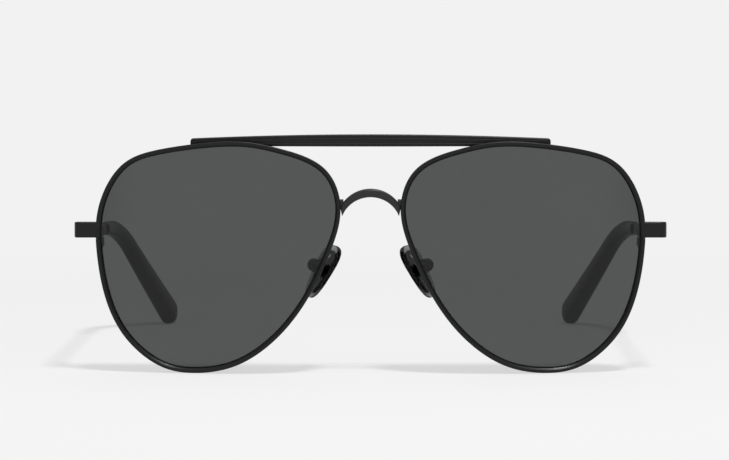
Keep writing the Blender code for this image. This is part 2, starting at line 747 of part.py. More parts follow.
def make_temple_arm():
    """Flat strip, tapering in height, that goes on as a thin core inside the tip."""
    hinge_end = rectangle(STRIP_THICKNESS / 2, STRIP_HEIGHT / 2, STRIP_CHAMFER)
    tip_end = rectangle(STRIP_THICKNESS / 2, ARM_END_HEIGHT / 2, STRIP_CHAMFER)
    core = rectangle(CORE_THICKNESS / 2, CORE_HEIGHT / 2, CORE_CHAMFER)
    rings = [temple_ring(BUTT_GAP / 2, hinge_end), temple_ring(TIP_START - SOLDER_GAP, tip_end)]
    for length in temple_stations(TIP_START - SOLDER_GAP, TIP_START + CORE_LENGTH, CORE_STATIONS):
        rings.append(temple_ring(length, core))
    return new_object(loft(rings))


def tip_section(length, inset):
    """Rounded section of the tip: taller and thicker towards its end, which is round."""
    share = (length - TIP_START) / (TEMPLE_LENGTH - TIP_START)
    half_height = (TIP_MOUTH_HEIGHT + (TIP_END_HEIGHT - TIP_MOUTH_HEIGHT) * share**TIP_FLARE) / 2
    half_thickness = (TIP_MOUTH_THICKNESS + (TIP_END_THICKNESS - TIP_MOUTH_THICKNESS) * share) / 2
    points = []
    for index in range(TIP_SIDES):
        turn = (index + 0.5) / TIP_SIDES * 2 * math.pi
        wide = math.copysign(abs(math.cos(turn)) ** TIP_SQUARENESS, math.cos(turn))
        high = math.copysign(abs(math.sin(turn)) ** TIP_SQUARENESS, math.sin(turn))
        points.append((wide * half_thickness * inset, high * half_height * inset))
    return points


def make_temple_tip():
    """Sleeve with a blind bore for the core, and a round end."""
    round_start = TEMPLE_LENGTH - TIP_ROUNDING
    outside = [(length, 1.0) for length in temple_stations(TIP_START, round_start, TIP_STATIONS)]
    for angle in np.linspace(0, TIP_ROUNDING_SWEEP, TIP_ROUNDING_STEPS)[1:]:
        outside.append((round_start + TIP_ROUNDING * math.sin(angle), math.cos(angle)))
    rings = [temple_ring(length, tip_section(length, inset)) for length, inset in outside]

    section = rectangle(CORE_THICKNESS / 2 + RUNNING_GAP, CORE_HEIGHT / 2 + RUNNING_GAP, CORE_CHAMFER)
    core_lengths = temple_stations(TIP_START - SOLDER_GAP, TIP_START + CORE_LENGTH, CORE_STATIONS)
    mouth = TIP_START - TIP_ROUNDING
    bore_lengths = [mouth, *core_lengths, TIP_START + CORE_LENGTH + RUNNING_GAP]
    bore = loft([temple_ring(length, section) for length in bore_lengths])
    return combine(new_object(loft(rings)), new_object(bore), "DIFFERENCE")


# Nose pads, in a frame at the rocking axis: X across the pad, Y up along it, Z towards the nose

def pad_axes():
    """Across, up and nose directions of the left pad, in the front frame."""
    across = Vector((math.sin(PAD_SPLAY), math.cos(PAD_SPLAY), 0))
    level = math.cos(PAD_FRONTAL_ANGLE)
    nose = Vector((-math.cos(PAD_SPLAY) * level, math.sin(PAD_SPLAY) * level, -math.sin(PAD_FRONTAL_ANGLE)))
    return across, nose.cross(across) * -1, nose


def pad_pivot():
    rim = rim_place(PAD_LEVEL, NASAL, 0, 0)[0]
    return Vector((rim.x + PAD_OUT, rim.y + PAD_BACK, PAD_LEVEL))


PAD_BOX_TOP = TAB_RADIUS
PAD_BACK_FACE = PAD_BOX_TOP + PAD_ROOM
PLATE_LOW = PAD_BACK_FACE + CORE_PLATE_COVER


def pad_outline(width, length):
    """A squarish oval, fuller at its upper end."""
    points = []
    for index in range(PAD_SIDES):
        turn = index / PAD_SIDES * 2 * math.pi
        wide = math.copysign(abs(math.cos(turn)) ** PAD_SQUARENESS, math.cos(turn))
        high = math.copysign(abs(math.sin(turn)) ** PAD_SQUARENESS, math.sin(turn))
        points.append((width / 2 * wide * (1 + PAD_FULLNESS * high), length / 2 * high - PAD_SINK))
    return points


def plate_shape(grow):
    """The core's plate, or with grow the room for it."""
    outline = pad_outline(CORE_PLATE_WIDTH + 2 * grow, CORE_PLATE_LENGTH + 2 * grow)
    return prism(outline, PLATE_LOW - grow, PLATE_LOW + CORE_PLATE_THICKNESS + grow)


def tab_outline(radius):
    """Side view of the tab: round about the rocking axis, then straight towards the nose to the plate."""
    top = PLATE_LOW + CORE_PLATE_THICKNESS / 2
    points = [(top, -radius), (top, radius)]
    for index in range(ROUND_SIDES - 2):
        turn = (0.5 + index / (ROUND_SIDES - 3)) * math.pi
        points.append((radius * math.cos(turn), radius * math.sin(turn)))
    return points


def on_tab(shape):
    """A shape drawn in the tab's side view, turned into the pad's frame."""
    return mapped(shape, (0, 0, 0), (0, 0, 1), (0, 1, 0), (1, 0, 0))


def tab_bore():
    """The tab's hole, with points that match its outline."""
    radius = PAD_SCREW_RADIUS + RUNNING_GAP
    turns = [math.atan2(y, x) for x, y in tab_outline(TAB_RADIUS)]
    return [(radius * math.cos(turn), radius * math.sin(turn)) for turn in turns]


def make_pad_core():
    """Plate inside the pad, with a bored tab that reaches into the box."""
    half = TAB_THICKNESS / 2
    tab = new_object(on_tab(collar(tab_outline(TAB_RADIUS), tab_bore(), -half, half)))
    return combine(new_object(plate_shape(0)), tab, "UNION")


def make_nose_pad():
    """Soft pad with rounded edges, hollowed for its core."""
    rings = []
    for height, share in PAD_EDGE:
        outline = pad_outline(PAD_WIDTH * share, PAD_LENGTH * share)
        rings.append(at_height(outline, PAD_BACK_FACE + PAD_THICKNESS * height))
    crown = (0, -PAD_SINK, PAD_BACK_FACE + PAD_THICKNESS)
    pad = new_object(loft(rings, end_tip=crown))
    combine(pad, new_object(plate_shape(SOLDER_GAP)), "DIFFERENCE")
    half = TAB_THICKNESS / 2 + SOLDER_GAP
    tab_room = prism(tab_outline(TAB_RADIUS + SOLDER_GAP), -half, half)
    return combine(pad, new_object(on_tab(tab_room)), "DIFFERENCE")


def pad_box_outline():
    """Side view of the box: straight sides from the pad's side, closed by half a circle."""
    radius = PAD_BOX_LENGTH / 2
    middle = radius - TAB_RADIUS - 2 * RUNNING_GAP - PAD_BOX_FLOOR
    points = [(PAD_BOX_TOP, -radius), (PAD_BOX_TOP, radius)]
    for index in range(ROUND_SIDES - 2):
        turn = (0.5 + index / (ROUND_SIDES - 3)) * math.pi
        points.append((middle + radius * math.cos(turn), radius * math.sin(turn)))
    return points


def make_pad_box():
    """Round-backed block with a slot for the tab and a cross hole for the screw."""
    slot_low = -TAB_RADIUS - 2 * RUNNING_GAP
    item = new_object(on_tab(prism(pad_box_outline(), -PAD_BOX_WIDTH / 2, PAD_BOX_WIDTH / 2)))
    slot = TAB_THICKNESS / 2 + RUNNING_GAP
    combine(
        item,
        new_object(box((-slot, -PAD_BOX_LENGTH, slot_low), (slot, PAD_BOX_LENGTH, PAD_BOX_TOP * 2))),
        "DIFFERENCE",
    )
    bore = prism(circle(PAD_SCREW_RADIUS + RUNNING_GAP), -PAD_BOX_WIDTH, PAD_BOX_WIDTH)
    return combine(item, new_object(on_tab(bore)), "DIFFERENCE")


def make_pad_screw():
    """Screw across the box and the tab."""
    length = PAD_BOX_WIDTH + SOLDER_GAP
    item = screw(PAD_SCREW_RADIUS, length, PAD_SCREW_HEAD_RADIUS, PAD_SCREW_HEAD)
    seat = PAD_BOX_WIDTH / 2 + SOLDER_GAP
    return carried(item, (seat, 0, 0), (0, 1, 0), (0, 0, 1), (1, 0, 0))


def make_pad_arm():
    """Bent wire from the back of the rim to the front side of the box, beside the screw."""
    middle = (RIM_WALL - BEVEL_HEIGHT) / 2
    foot, _, rim_back, _ = rim_place(PAD_LEVEL + PAD_WIRE_FOOT, NASAL, middle, RIM_BACK + SOLDER_GAP)
    across, _, nose = pad_axes()
    aside = PAD_SCREW_RADIUS + PAD_WIRE_RADIUS + 3 * RUNNING_GAP
    end = pad_pivot() - nose * aside - across * (PAD_BOX_WIDTH / 2 + SOLDER_GAP)
    handles = (foot, foot + rim_back * PAD_WIRE_REACH, end - across * PAD_WIRE_REACH, end)
    steps = 12
    rings = []
    for share in np.linspace(0, 1, steps):
        rest = 1 - share
        weights = (rest**3, 3 * rest**2 * share, 3 * rest * share**2, share**3)
        slopes = (-rest**2, rest**2 - 2 * rest * share, 2 * rest * share - share**2, share**2)
        place = sum((handle * weight for handle, weight in zip(handles, weights)), Vector())
        along = sum((handle * slope for handle, slope in zip(handles, slopes)), Vector()).normalized()
        side = along.cross(Vector((0, 0, 1))).normalized()
        up = side.cross(along)
        section = circle(PAD_WIRE_RADIUS)
        rings.append([place + side * x + up * y for x, y in section])
    return new_object(loft(rings))


# Assembly

BLACK_METAL = ((0.022, 0.022, 0.023), 1.0, 0.38)
DARK_STEEL = ((0.05, 0.05, 0.052), 1.0, 0.3)
GREY_LENS = ((0.09, 0.095, 0.093), 0.0, 0.05)
BLACK_PLASTIC = ((0.012, 0.012, 0.012), 0.0, 0.35)
SMOKY_PLASTIC = ((0.2, 0.2, 0.2), 0.0, 0.2)


def cut_by_rims(item, both):
    """Fit a soldered piece to the left rim, and to the right one if it reaches both."""
    combine(item, make_rim_envelope(), "DIFFERENCE")
    if both:
        envelope = make_rim_envelope()
        envelope.data.transform(Matrix.Scale(-1, 4, (1, 0, 0)))
        envelope.data.flip_normals()
        combine(item, envelope, "DIFFERENCE")
    return item


def largest_body(item):
    """Keep the largest separate body of an object: a cut can leave crumbs on the far side of the rim."""
    work = bmesh.new()
    work.from_mesh(item.data)
    bodies = []
    left = set(work.verts)
    while left:
        body = {left.pop()}
        front = list(body)
        while front:
            for edge in front.pop().link_edges:
                for vert in edge.verts:
                    if vert in left:
                        left.remove(vert)
                        body.add(vert)
                        front.append(vert)
        bodies.append(body)
    bodies.sort(key=lambda body: sum(face.calc_area() for vert in body for face in vert.link_faces))
    for body in bodies[:-1]:
        bmesh.ops.delete(work, geom=list(body), context="VERTS")
    work.to_mesh(item.data)
    work.free()
    return item


def build_front(front):
    both = (front, front)
    pair("rim", make_rim(), both, BLACK_METAL)
    pair("lens", make_lens(), both, GREY_LENS)
    name_piece(largest_body(cut_by_rims(make_bridge(), True)), "bridge", front, BLACK_METAL)
    name_piece(largest_body(cut_by_rims(make_brow_bar(), True)), "brow_bar", front, BLACK_METAL)
    pair("endpiece", largest_body(cut_by_rims(make_endpiece(), False)), both, BLACK_METAL)
    for name, sign in (("closing_block_upper", 1), ("closing_block_lower", -1)):
        pair(name, cut_by_rims(make_closing_block(sign), False), both, BLACK_METAL)
    pair("rim_screw", make_rim_screw(), both, DARK_STEEL)
    pair("pad_arm", make_pad_arm(), both, BLACK_METAL)


def build_pads(front):
    pivot = pad_pivot()
    fixed = empty_pair("pad_box_place", front, pivot)
    pivots = empty_pair("nose_pad_pivot", front, pivot)
    axes = pad_axes()
    origin = (0, 0, 0)
    pair("pad_box", carried(make_pad_box(), origin, *axes), fixed, BLACK_METAL)
    pair("pad_screw", carried(make_pad_screw(), origin, *axes), fixed, DARK_STEEL)
    pair("pad_core", carried(make_pad_core(), origin, *axes), pivots, BLACK_METAL)
    pair("nose_pad", carried(make_nose_pad(), origin, *axes), pivots, SMOKY_PLASTIC)


def build_hinges_and_temples(front):
    hinge = endpiece_plan()[3]
    fixed = empty_pair("hinge_place", front, hinge, -PANTOSCOPIC)
    pivots = empty_pair("temple_pivot", front, hinge, -PANTOSCOPIC)
    lower, middle, upper = knuckle_levels()
    pair("front_hinge_leaf", make_leaf(-1, FRONT_LEAF_LENGTH, (lower, upper)), fixed, BLACK_METAL)
    pair("hinge_screw", make_hinge_screw(), fixed, DARK_STEEL)
    pair("temple_hinge_leaf", make_leaf(1, TEMPLE_LEAF_LENGTH, (middle,)), pivots, BLACK_METAL)
    pair("temple_arm", make_temple_arm(), pivots, BLACK_METAL)
    pair("temple_tip", make_temple_tip(), pivots, BLACK_PLASTIC)


def points_of(names):
    """World points of some objects."""
    points = []
    for name in names:
        item = bpy.data.objects[name]
        points.extend(item.matrix_world @ vert.co for vert in item.data.vertices)
    return np.array(points)


def stand(front):
    """Lean the pair until rims and tips touch the ground together, then centre it over the origin."""
    bpy.context.view_layer.update()
    rims = points_of(("rim_left", "rim_right"))
    tips = points_of(("temple_tip_left", "temple_tip_right"))

    def lowest(points, lean):
        return (points[:, 1] * math.sin(lean) + points[:, 2] * math.cos(lean)).min()

    low = -45 * DEGREE
    high = 45 * DEGREE
    halvings = 40
    for _ in range(halvings):
        lean = (low + high) / 2
        if lowest(tips, lean) < lowest(rims, lean):
            low = lean
        else:
            high = lean
    front.rotation_euler = (lean, 0, 0)
    bpy.context.view_layer.update()
    every = points_of([item.name for item in bpy.data.objects if item.type == "MESH"])
    centre = (every.min(axis=0) + every.max(axis=0)) / 2
    front.location = (-centre[0], -centre[1], -every[:, 2].min())
    bpy.context.view_layer.update()


def main():
    for item in list(bpy.data.objects):
        bpy.data.objects.remove(item)
    front = bpy.data.objects.new("sunglasses", None)
    bpy.context.scene.collection.objects.link(front)
    build_front(front)
    build_pads(front)
    build_hinges_and_temples(front)
    stand(front)


main()
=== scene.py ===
"""Looks for the aviator sunglasses: finely rounded pieces, materials, light and camera.

Pieces are drawn in the front's frame (X to the wearer's left, Y back, Z up, origin between the lenses)
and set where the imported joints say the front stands. The left side is drawn, and the right mirrors it.
"""

import json
import math

import bmesh
import bpy
import numpy as np
from mathutils import Matrix, Vector

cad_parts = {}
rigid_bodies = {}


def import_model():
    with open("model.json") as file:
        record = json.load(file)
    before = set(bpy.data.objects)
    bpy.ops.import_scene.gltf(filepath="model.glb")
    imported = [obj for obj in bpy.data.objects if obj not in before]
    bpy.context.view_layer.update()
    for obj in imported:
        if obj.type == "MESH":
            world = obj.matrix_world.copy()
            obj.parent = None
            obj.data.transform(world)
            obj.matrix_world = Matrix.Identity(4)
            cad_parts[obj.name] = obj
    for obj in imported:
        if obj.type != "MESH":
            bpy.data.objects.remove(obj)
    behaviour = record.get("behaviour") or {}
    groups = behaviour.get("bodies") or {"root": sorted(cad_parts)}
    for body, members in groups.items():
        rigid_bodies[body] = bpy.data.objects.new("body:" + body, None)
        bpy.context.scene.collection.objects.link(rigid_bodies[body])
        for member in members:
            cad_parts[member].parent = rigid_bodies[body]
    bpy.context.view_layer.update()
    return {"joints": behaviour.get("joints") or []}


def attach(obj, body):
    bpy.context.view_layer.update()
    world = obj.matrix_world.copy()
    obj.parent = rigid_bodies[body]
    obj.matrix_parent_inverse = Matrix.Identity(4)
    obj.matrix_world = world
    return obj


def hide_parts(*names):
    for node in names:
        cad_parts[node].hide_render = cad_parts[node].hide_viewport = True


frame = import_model()

MM = 0.001
DEGREE = math.pi / 180.0

# Lenses
LENS_WIDTH = 58.95 * MM
LENS_HEIGHT = 56.0 * MM
LENS_THICKNESS = 1.6 * MM
LENS_CURVE_RADIUS = 88.0 * MM
NOSE_GAP = 16.75 * MM
FACE_FORM = 5.0 * DEGREE
BEVEL_HEIGHT = 0.58 * MM
BEVEL_HALF_WIDTH = 0.45 * MM
BEVEL_SETBACK = 0.6 * MM
SEAT_GAP = 0.06 * MM
LENS_OUTLINE = (
    (1.00, 0.43),
    (0.865, 0.775),
    (0.503, 0.943),
    (0.095, 1.00),
    (-0.475, 0.925),
    (-0.815, 0.761),
    (-0.985, 0.41),
    (-0.994, 0.024),
    (-0.933, -0.337),
    (-0.785, -0.680),
    (-0.513, -0.934),
    (-0.206, -1.00),
    (0.171, -0.915),
    (0.531, -0.626),
    (0.773, -0.265),
    (0.920, 0.074),
)  # shares of half the width towards the nose, and of half the height

# Rims
RIM_WALL = 0.65 * MM
RIM_DEPTH = 2.4 * MM
RIM_FRONT = 1.3 * MM
RIM_SLOPE = 7.0 * DEGREE
RIM_SPLIT = 0.2 * MM
RIM_INNER_CHAMFER = 0.4 * MM
RIM_CHAMFER_EDGES = (0.06 * MM, 0.12 * MM)
RIM_ROUNDING = 0.3 * MM
RIM_BACK_ROUNDING = 0.2 * MM

# Bridge
BRIDGE_TOP = 17.2 * MM
BRIDGE_THICKNESS = 2.1 * MM
BRIDGE_DEPTH = 1.8 * MM
BRIDGE_SPREAD = 0.55 * MM
BRIDGE_TAPER = 0.86 * MM
BRIDGE_UPPER_STOP = 0.3 * MM
BRIDGE_LOWER_STOP = 0.8 * MM
BRIDGE_BOW = 0.8 * MM
BRIDGE_FOOT_DROP = 3.7 * MM
BRIDGE_FOOT_HEIGHT = 2.0 * MM
BRIDGE_FOOT_DEPTH = 1.2 * MM
BRIDGE_FOOT_REACH = 0.8 * MM
BRIDGE_ROUNDING = 0.7 * MM

# Brow bar
BAR_OVERHANG = 6.2 * MM
BAR_RISE = 2.35 * MM
BAR_HEIGHT = 2.95 * MM
BAR_DROP = 1.2 * MM
BAR_DEPTH = 1.4 * MM
BAR_SEAT = 0.5 * MM
BAR_PLAN_RADIUS = 490.0 * MM
BAR_END_RADIUS = 0.6 * MM
BAR_TRIM = 0.01 * MM  # keeps the finer arch inside the box of the solids
BAR_FRONT_ROUNDING = 0.35 * MM
BAR_BACK_ROUNDING = 0.3 * MM
BAR_GROOVE_DEPTH = 0.07 * MM
BAR_GROOVE_HALF = 0.11 * MM
BAR_GROOVE_ROUNDING = 0.02 * MM
BAR_GROOVE_LEVELS = (0.3, 0.72)  # shares of the bar's height

# Endpieces
STRIP_THICKNESS = 1.3 * MM
STRIP_HEIGHT = 3.9 * MM
STRIP_ROUNDING = 0.4 * MM
ENDPIECE_REACH = 5.2 * MM
ENDPIECE_LEVEL = 6.5 * MM
ENDPIECE_RETURN = 7.0 * MM
ENDPIECE_CORNER = 1.6 * MM
ENDPIECE_SINK = 0.6 * MM

# Closing blocks and their screw
BLOCK_HEIGHT = 2.2 * MM
BLOCK_WIDTH = 1.8 * MM
BLOCK_DEPTH = 2.4 * MM
BLOCK_SINK = 0.3 * MM
BLOCK_CORNER = 0.4 * MM
BLOCK_EDGE = 0.18 * MM
RIM_SCREW_RADIUS = 0.5 * MM
RIM_SCREW_HEAD_RADIUS = 0.8 * MM
RIM_SCREW_HEAD = 0.45 * MM

# All screws
SCREW_DOME = 0.4  # share of the head's height that is rounded
SCREW_POINT = 0.2  # share of the shank's radius that its end loses
SCREW_SLOT_HALF = 0.16  # half the slot's width, as a share of the head's radius
SCREW_SLOT_FLOOR = 0.45  # share of the head's height below the slot

# Hinges
HINGE_HEIGHT = 3.0 * MM
HINGE_OFFSET = 1.75 * MM
KNUCKLE_RADIUS = 1.2 * MM
KNUCKLE_EDGE = 0.12 * MM
LEAF_THICKNESS = 0.7 * MM
LEAF_EDGE = 0.14 * MM
FRONT_LEAF_LENGTH = 4.6 * MM
TEMPLE_LEAF_LENGTH = 6.5 * MM
HINGE_SCREW_RADIUS = 0.6 * MM
HINGE_SCREW_HEAD_RADIUS = 1.0 * MM
HINGE_SCREW_HEAD = 0.35 * MM
HINGE_SCREW_TAIL = 0.15 * MM
RUNNING_GAP = 0.08 * MM
BUTT_GAP = 0.1 * MM

# Temples
PANTOSCOPIC = 7.4 * DEGREE
TEMPLE_LENGTH = 139.0 * MM
TIP_START = 80.0 * MM
BEND_START = 95.0 * MM
BEND_RADIUS = 19.0 * MM
BEND_ANGLE = 44.5 * DEGREE
TIP_INSET = 15.7 * MM
TIP_LEAN_EASE = 1.07
LEAN_ROUNDING = 7.0 * MM  # the lean sets in over this length on either side of the bend's start
ARM_END_HEIGHT = 3.0 * MM
ARM_TONGUE = 3.0 * MM  # the arm runs this far into the tip's mouth
TIP_MOUTH_HEIGHT = 3.4 * MM
TIP_MOUTH_THICKNESS = 3.0 * MM
TIP_MOUTH_EDGE = 0.35 * MM
TIP_END_HEIGHT = 8.5 * MM
TIP_END_THICKNESS = 5.2 * MM
TIP_FLARE = 1.35
TIP_SQUARENESS = 0.75
TIP_ROUNDING = 3.2 * MM

# Nose pads
PAD_LEVEL = -2.6 * MM
PAD_BACK = 7.8 * MM
PAD_OUT = 1.15 * MM
PAD_FRONTAL_ANGLE = 32.0 * DEGREE
PAD_SPLAY = 30.0 * DEGREE
PAD_LENGTH = 14.5 * MM
PAD_WIDTH = 7.5 * MM
PAD_THICKNESS = 2.2 * MM
PAD_SINK = 0.4 * MM
PAD_FULLNESS = 0.28
PAD_SQUARENESS = 0.75
PAD_ROOM = 0.8 * MM
PAD_BACK_EDGE = 0.45 * MM
PAD_BELLY = 0.95 * MM  # above the back, where the pad is widest
PAD_CROWN = 0.55
CORE_PLATE_LENGTH = 11.6 * MM
CORE_PLATE_WIDTH = 5.8 * MM
CORE_PLATE_THICKNESS = 0.5 * MM
CORE_PLATE_COVER = 0.75 * MM
CORE_PLATE_EDGE = 0.12 * MM
CORE_HOLE_RADIUS = 0.6 * MM
CORE_HOLE_PLACE = 0.36  # share of the plate's length, from its middle
TAB_THICKNESS = 1.2 * MM
TAB_RADIUS = 0.9 * MM
PAD_BOX_WIDTH = 3.0 * MM
PAD_BOX_LENGTH = 3.2 * MM
PAD_BOX_EDGE = 0.3 * MM
PAD_BOX_FLOOR = 0.6 * MM
PAD_SCREW_RADIUS = 0.4 * MM
PAD_SCREW_HEAD_RADIUS = 0.75 * MM
PAD_SCREW_HEAD = 0.35 * MM
PAD_WIRE_RADIUS = 0.5 * MM
PAD_WIRE_FOOT = 1.5 * MM
PAD_WIRE_REACH = 2.0 * MM
PAD_WIRE_SPREAD = 0.35  # share by which the foot is wider than the wire
PAD_WIRE_SPREAD_FALL = 18.0

# Finer curves keep this far inside the CAD's facets
SKIN = 0.04 * MM

# Mesh density
SLOPE_STEP = 0.5 * MM
OUTLINE_STEPS = 160
RIM_STATIONS = 320
LENS_RINGS = 28
ROUND_SIDES = 40
CORNER_STEPS = 5
SHARP = 50.0 * DEGREE  # edges that are sharper than this stay sharp
FINE_SHARP = 35.0 * DEGREE

# Worked out from the sizes above
LENS_CENTRE = NOSE_GAP / 2 + LENS_WIDTH / 2
RIM_BACK = RIM_DEPTH - RIM_FRONT
LENS_SEAT = Matrix.Translation((LENS_CENTRE, 0, 0)) @ Matrix.Rotation(FACE_FORM, 4, "Z")
SPLIT_LEVEL = ENDPIECE_LEVEL - STRIP_HEIGHT / 2 - RIM_SPLIT
TEMPORAL, NASAL = 1, -1
PAD_BOX_TOP = TAB_RADIUS
PAD_BACK_FACE = PAD_BOX_TOP + PAD_ROOM
PLATE_LOW = PAD_BACK_FACE + CORE_PLATE_COVER


# Shapes: lists of points and faces

def loft(rings, closed=False, start_tip=None, end_tip=None):
    """Points and faces through equal rings of points, capped by flat ends or by tip points."""
    count = len(rings[0])
    verts = [tuple(point) for ring in rings for point in ring]
    faces = []
    for index in range(len(rings) if closed else len(rings) - 1):
        near = index * count
        far = (index + 1) % len(rings) * count
        for side in range(count):
            after = (side + 1) % count
            faces.append((near + side, near + after, far + after, far + side))
    if not closed:
        for first, tip in ((0, start_tip), ((len(rings) - 1) * count, end_tip)):
            if tip is None:
                faces.append(tuple(range(first, first + count)))
                continue
            verts.append(tuple(tip))
            for side in range(count):
                faces.append((first + side, first + (side + 1) % count, len(verts) - 1))
    return verts, faces


def moved(shape, matrix):
    """A shape carried by a matrix."""
    return [tuple(matrix @ Vector(vert)) for vert in shape[0]], shape[1]


def axes_matrix(origin, x_axis, y_axis, z_axis):
    """The matrix of a frame given by its origin and axes."""
    turn = Matrix((x_axis, y_axis, z_axis)).transposed().to_4x4()
    return Matrix.Translation(Vector(origin)) @ turn


def rounded_polygon(corners, steps=CORNER_STEPS):
    """A closed outline whose corners, each given with a radius, are rounded off."""
    places = [np.array(corner[:2]) for corner in corners]
    outline = []
    for index, corner in enumerate(places):
        radius = corners[index][2]
        if radius == 0:
            outline.append(corner)
            continue
        before = places[index - 1] - corner
        after = places[(index + 1) % len(places)] - corner
        before /= np.linalg.norm(before)
        after /= np.linalg.norm(after)
        half = math.acos(max(-1.0, min(1.0, before @ after))) / 2
        reach = radius / math.tan(half)
        for share in np.linspace(0, 1, steps):
            rest = 1 - share
            bend = rest**2 * before * reach + share**2 * after * reach
            outline.append(corner + bend)
    return outline


def rounded_rectangle(half_width, half_height, radius, steps=CORNER_STEPS):
    corners = [(1, -1), (1, 1), (-1, 1), (-1, -1)]
    return rounded_polygon([(x * half_width, y * half_height, radius) for x, y in corners], steps)


def circle(radius, sides=ROUND_SIDES):
    turns = [(index + 0.5) / sides * 2 * math.pi for index in range(sides)]
    return [(radius * math.cos(turn), radius * math.sin(turn)) for turn in turns]


def squarish(turn, squareness):
    """A point of a circle, drawn out towards the corners of a square."""
    return [math.copysign(abs(value) ** squareness, value) for value in (math.cos(turn), math.sin(turn))]


def at_height(outline, height):
    return [(x, y, height) for x, y in outline]


def prism(outline, low, high):
    """A plain prism along Z."""
    return loft([at_height(outline, low), at_height(outline, high)])


def easing(edge, steps):
    """Insets and rises along a rounded edge, from the end face to the side."""
    angles = np.linspace(0, math.pi / 2, steps)
    return [(edge * (1 - math.sin(angle)), edge * (1 - math.cos(angle))) for angle in angles]


def eased_prism(outline_at, low, high, edge):
    """A prism along Z with rounded rims. outline_at gives its outline, shrunk by an inset."""
    eased = easing(edge, 4)
    rings = [at_height(outline_at(inset), low + rise) for inset, rise in eased]
    rings += [at_height(outline_at(inset), high - rise) for inset, rise in reversed(eased)]
    return loft(rings)


def eased_box(low, high, edge):
    """A box with all its edges rounded."""
    middle = (np.array(low) + np.array(high)) / 2
    half = (np.array(high) - np.array(low)) / 2

    def outline(inset):
        return rounded_rectangle(half[0] - inset, half[1] - inset, max(edge - inset, edge * 0.05))

    return moved(eased_prism(outline, -half[2], half[2], edge), Matrix.Translation(Vector(middle)))


def turned(profile, closed=False, sides=ROUND_SIDES):
    """A shape turned about Z from radius and height pairs."""
    return loft([at_height(circle(radius, sides), height) for radius, height in profile], closed=closed)


# Objects

def bare_object(shape):
    mesh = bpy.data.meshes.new("shape")
    mesh.from_pydata([tuple(vert) for vert in shape[0]], [], shape[1])
    work = bmesh.new()
    work.from_mesh(mesh)
    bmesh.ops.recalc_face_normals(work, faces=work.faces)
    work.to_mesh(mesh)
    work.free()
    item = bpy.data.objects.new("shape", mesh)
    bpy.context.scene.collection.objects.link(item)
    return item


def combined(shape, tool, operation):
    """The Boolean of two shapes."""
    target = bare_object(shape)
    other = bare_object(tool)
    modifier = target.modifiers.new("combine", "BOOLEAN")
    modifier.operation = operation
    modifier.solver = "EXACT"
    modifier.object = other
    graph = bpy.context.evaluated_depsgraph_get()
    mesh = bpy.data.meshes.new_from_object(target.evaluated_get(graph))
    result = [tuple(vert.co) for vert in mesh.vertices], [tuple(face.vertices) for face in mesh.polygons]
    for item in (target, other):
        bpy.data.objects.remove(item)
    return result


def add_piece(node, shape, material, body, sharp_angle):
    """A finished piece that stands for a CAD node and rides on a body."""
    item = bare_object(shape)
    item.name = node + "_detail"
    item.data.name = item.name
    item.data.materials.append(material)
    item.data.shade_smooth()
    item.data.set_sharp_from_angle(angle=sharp_angle)
    evened = item.modifiers.new("even_normals", "WEIGHTED_NORMAL")
    evened.keep_sharp = True
    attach(item, body)
    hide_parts(node)
    return item


def add_pair(node, shape, material, body, sharp_angle=SHARP):
    """The left piece in the front's frame, and its mirror image. A body named with {} has two sides."""
    pieces = []
    mirror = Matrix.Scale(-1, 4, (1, 0, 0))
    for side, turn in (("left", FRONT), ("right", FRONT @ mirror)):
        name = node + "_" + side
        pieces.append(add_piece(name, moved(shape, turn), material, body.format(side), sharp_angle))
    return pieces


# The lens edge, as in the CAD

def closed_spline(points, steps):
    """A smooth closed curve through points: a periodic cubic spline."""
    points = np.array(points)
    unit = np.eye(len(points))
    system = 4 * unit + np.roll(unit, 1, axis=1) + np.roll(unit, -1, axis=1)
    after = np.roll(points, -1, axis=0)
    slopes = np.linalg.solve(system, 3 * (after - np.roll(points, 1, axis=0)))
    after_slopes = np.roll(slopes, -1, axis=0)
    spans = []
    for start, start_slope, end, end_slope in zip(points, slopes, after, after_slopes):
        for share in np.arange(steps) / steps:
            rest = 1 - share
            spans.append(
                start * (1 + 2 * share) * rest**2
                + start_slope * share * rest**2
                + end * share**2 * (1 + 2 * rest)
                - end_slope * share**2 * rest
            )
    return np.array(spans)


def lens_edge():
    """Points round the lens edge in the lens frame, and the lengths to them."""
    curve = closed_spline(LENS_OUTLINE, OUTLINE_STEPS)
    low = curve.min(axis=0)
    high = curve.max(axis=0)
    curve = (curve - (low + high) / 2) / (high - low) * (LENS_WIDTH, LENS_HEIGHT)
    across = -curve[:, 0]
    up = curve[:, 1]
    back = LENS_CURVE_RADIUS - np.sqrt(LENS_CURVE_RADIUS**2 - across**2 - up**2)
    points = np.column_stack((across, back, up))
    points = np.vstack((points, points[:1]))
    lengths = np.concatenate(((0.0,), np.cumsum(np.linalg.norm(np.diff(points, axis=0), axis=1))))
    return points, lengths


EDGE_POINTS, EDGE_LENGTHS = lens_edge()
EDGE_TOTAL = EDGE_LENGTHS[-1]


def edge_point(length):
    return np.array([np.interp(length % EDGE_TOTAL, EDGE_LENGTHS, axis) for axis in EDGE_POINTS.T])


def edge_length(level, side):
    """The length round the edge to the point at a level, on the temporal or nasal side."""
    on_side = EDGE_POINTS[:, 0] * side > 0
    offset = np.where(on_side, np.abs(EDGE_POINTS[:, 2] - level), np.inf)
    return EDGE_LENGTHS[np.argmin(offset)]


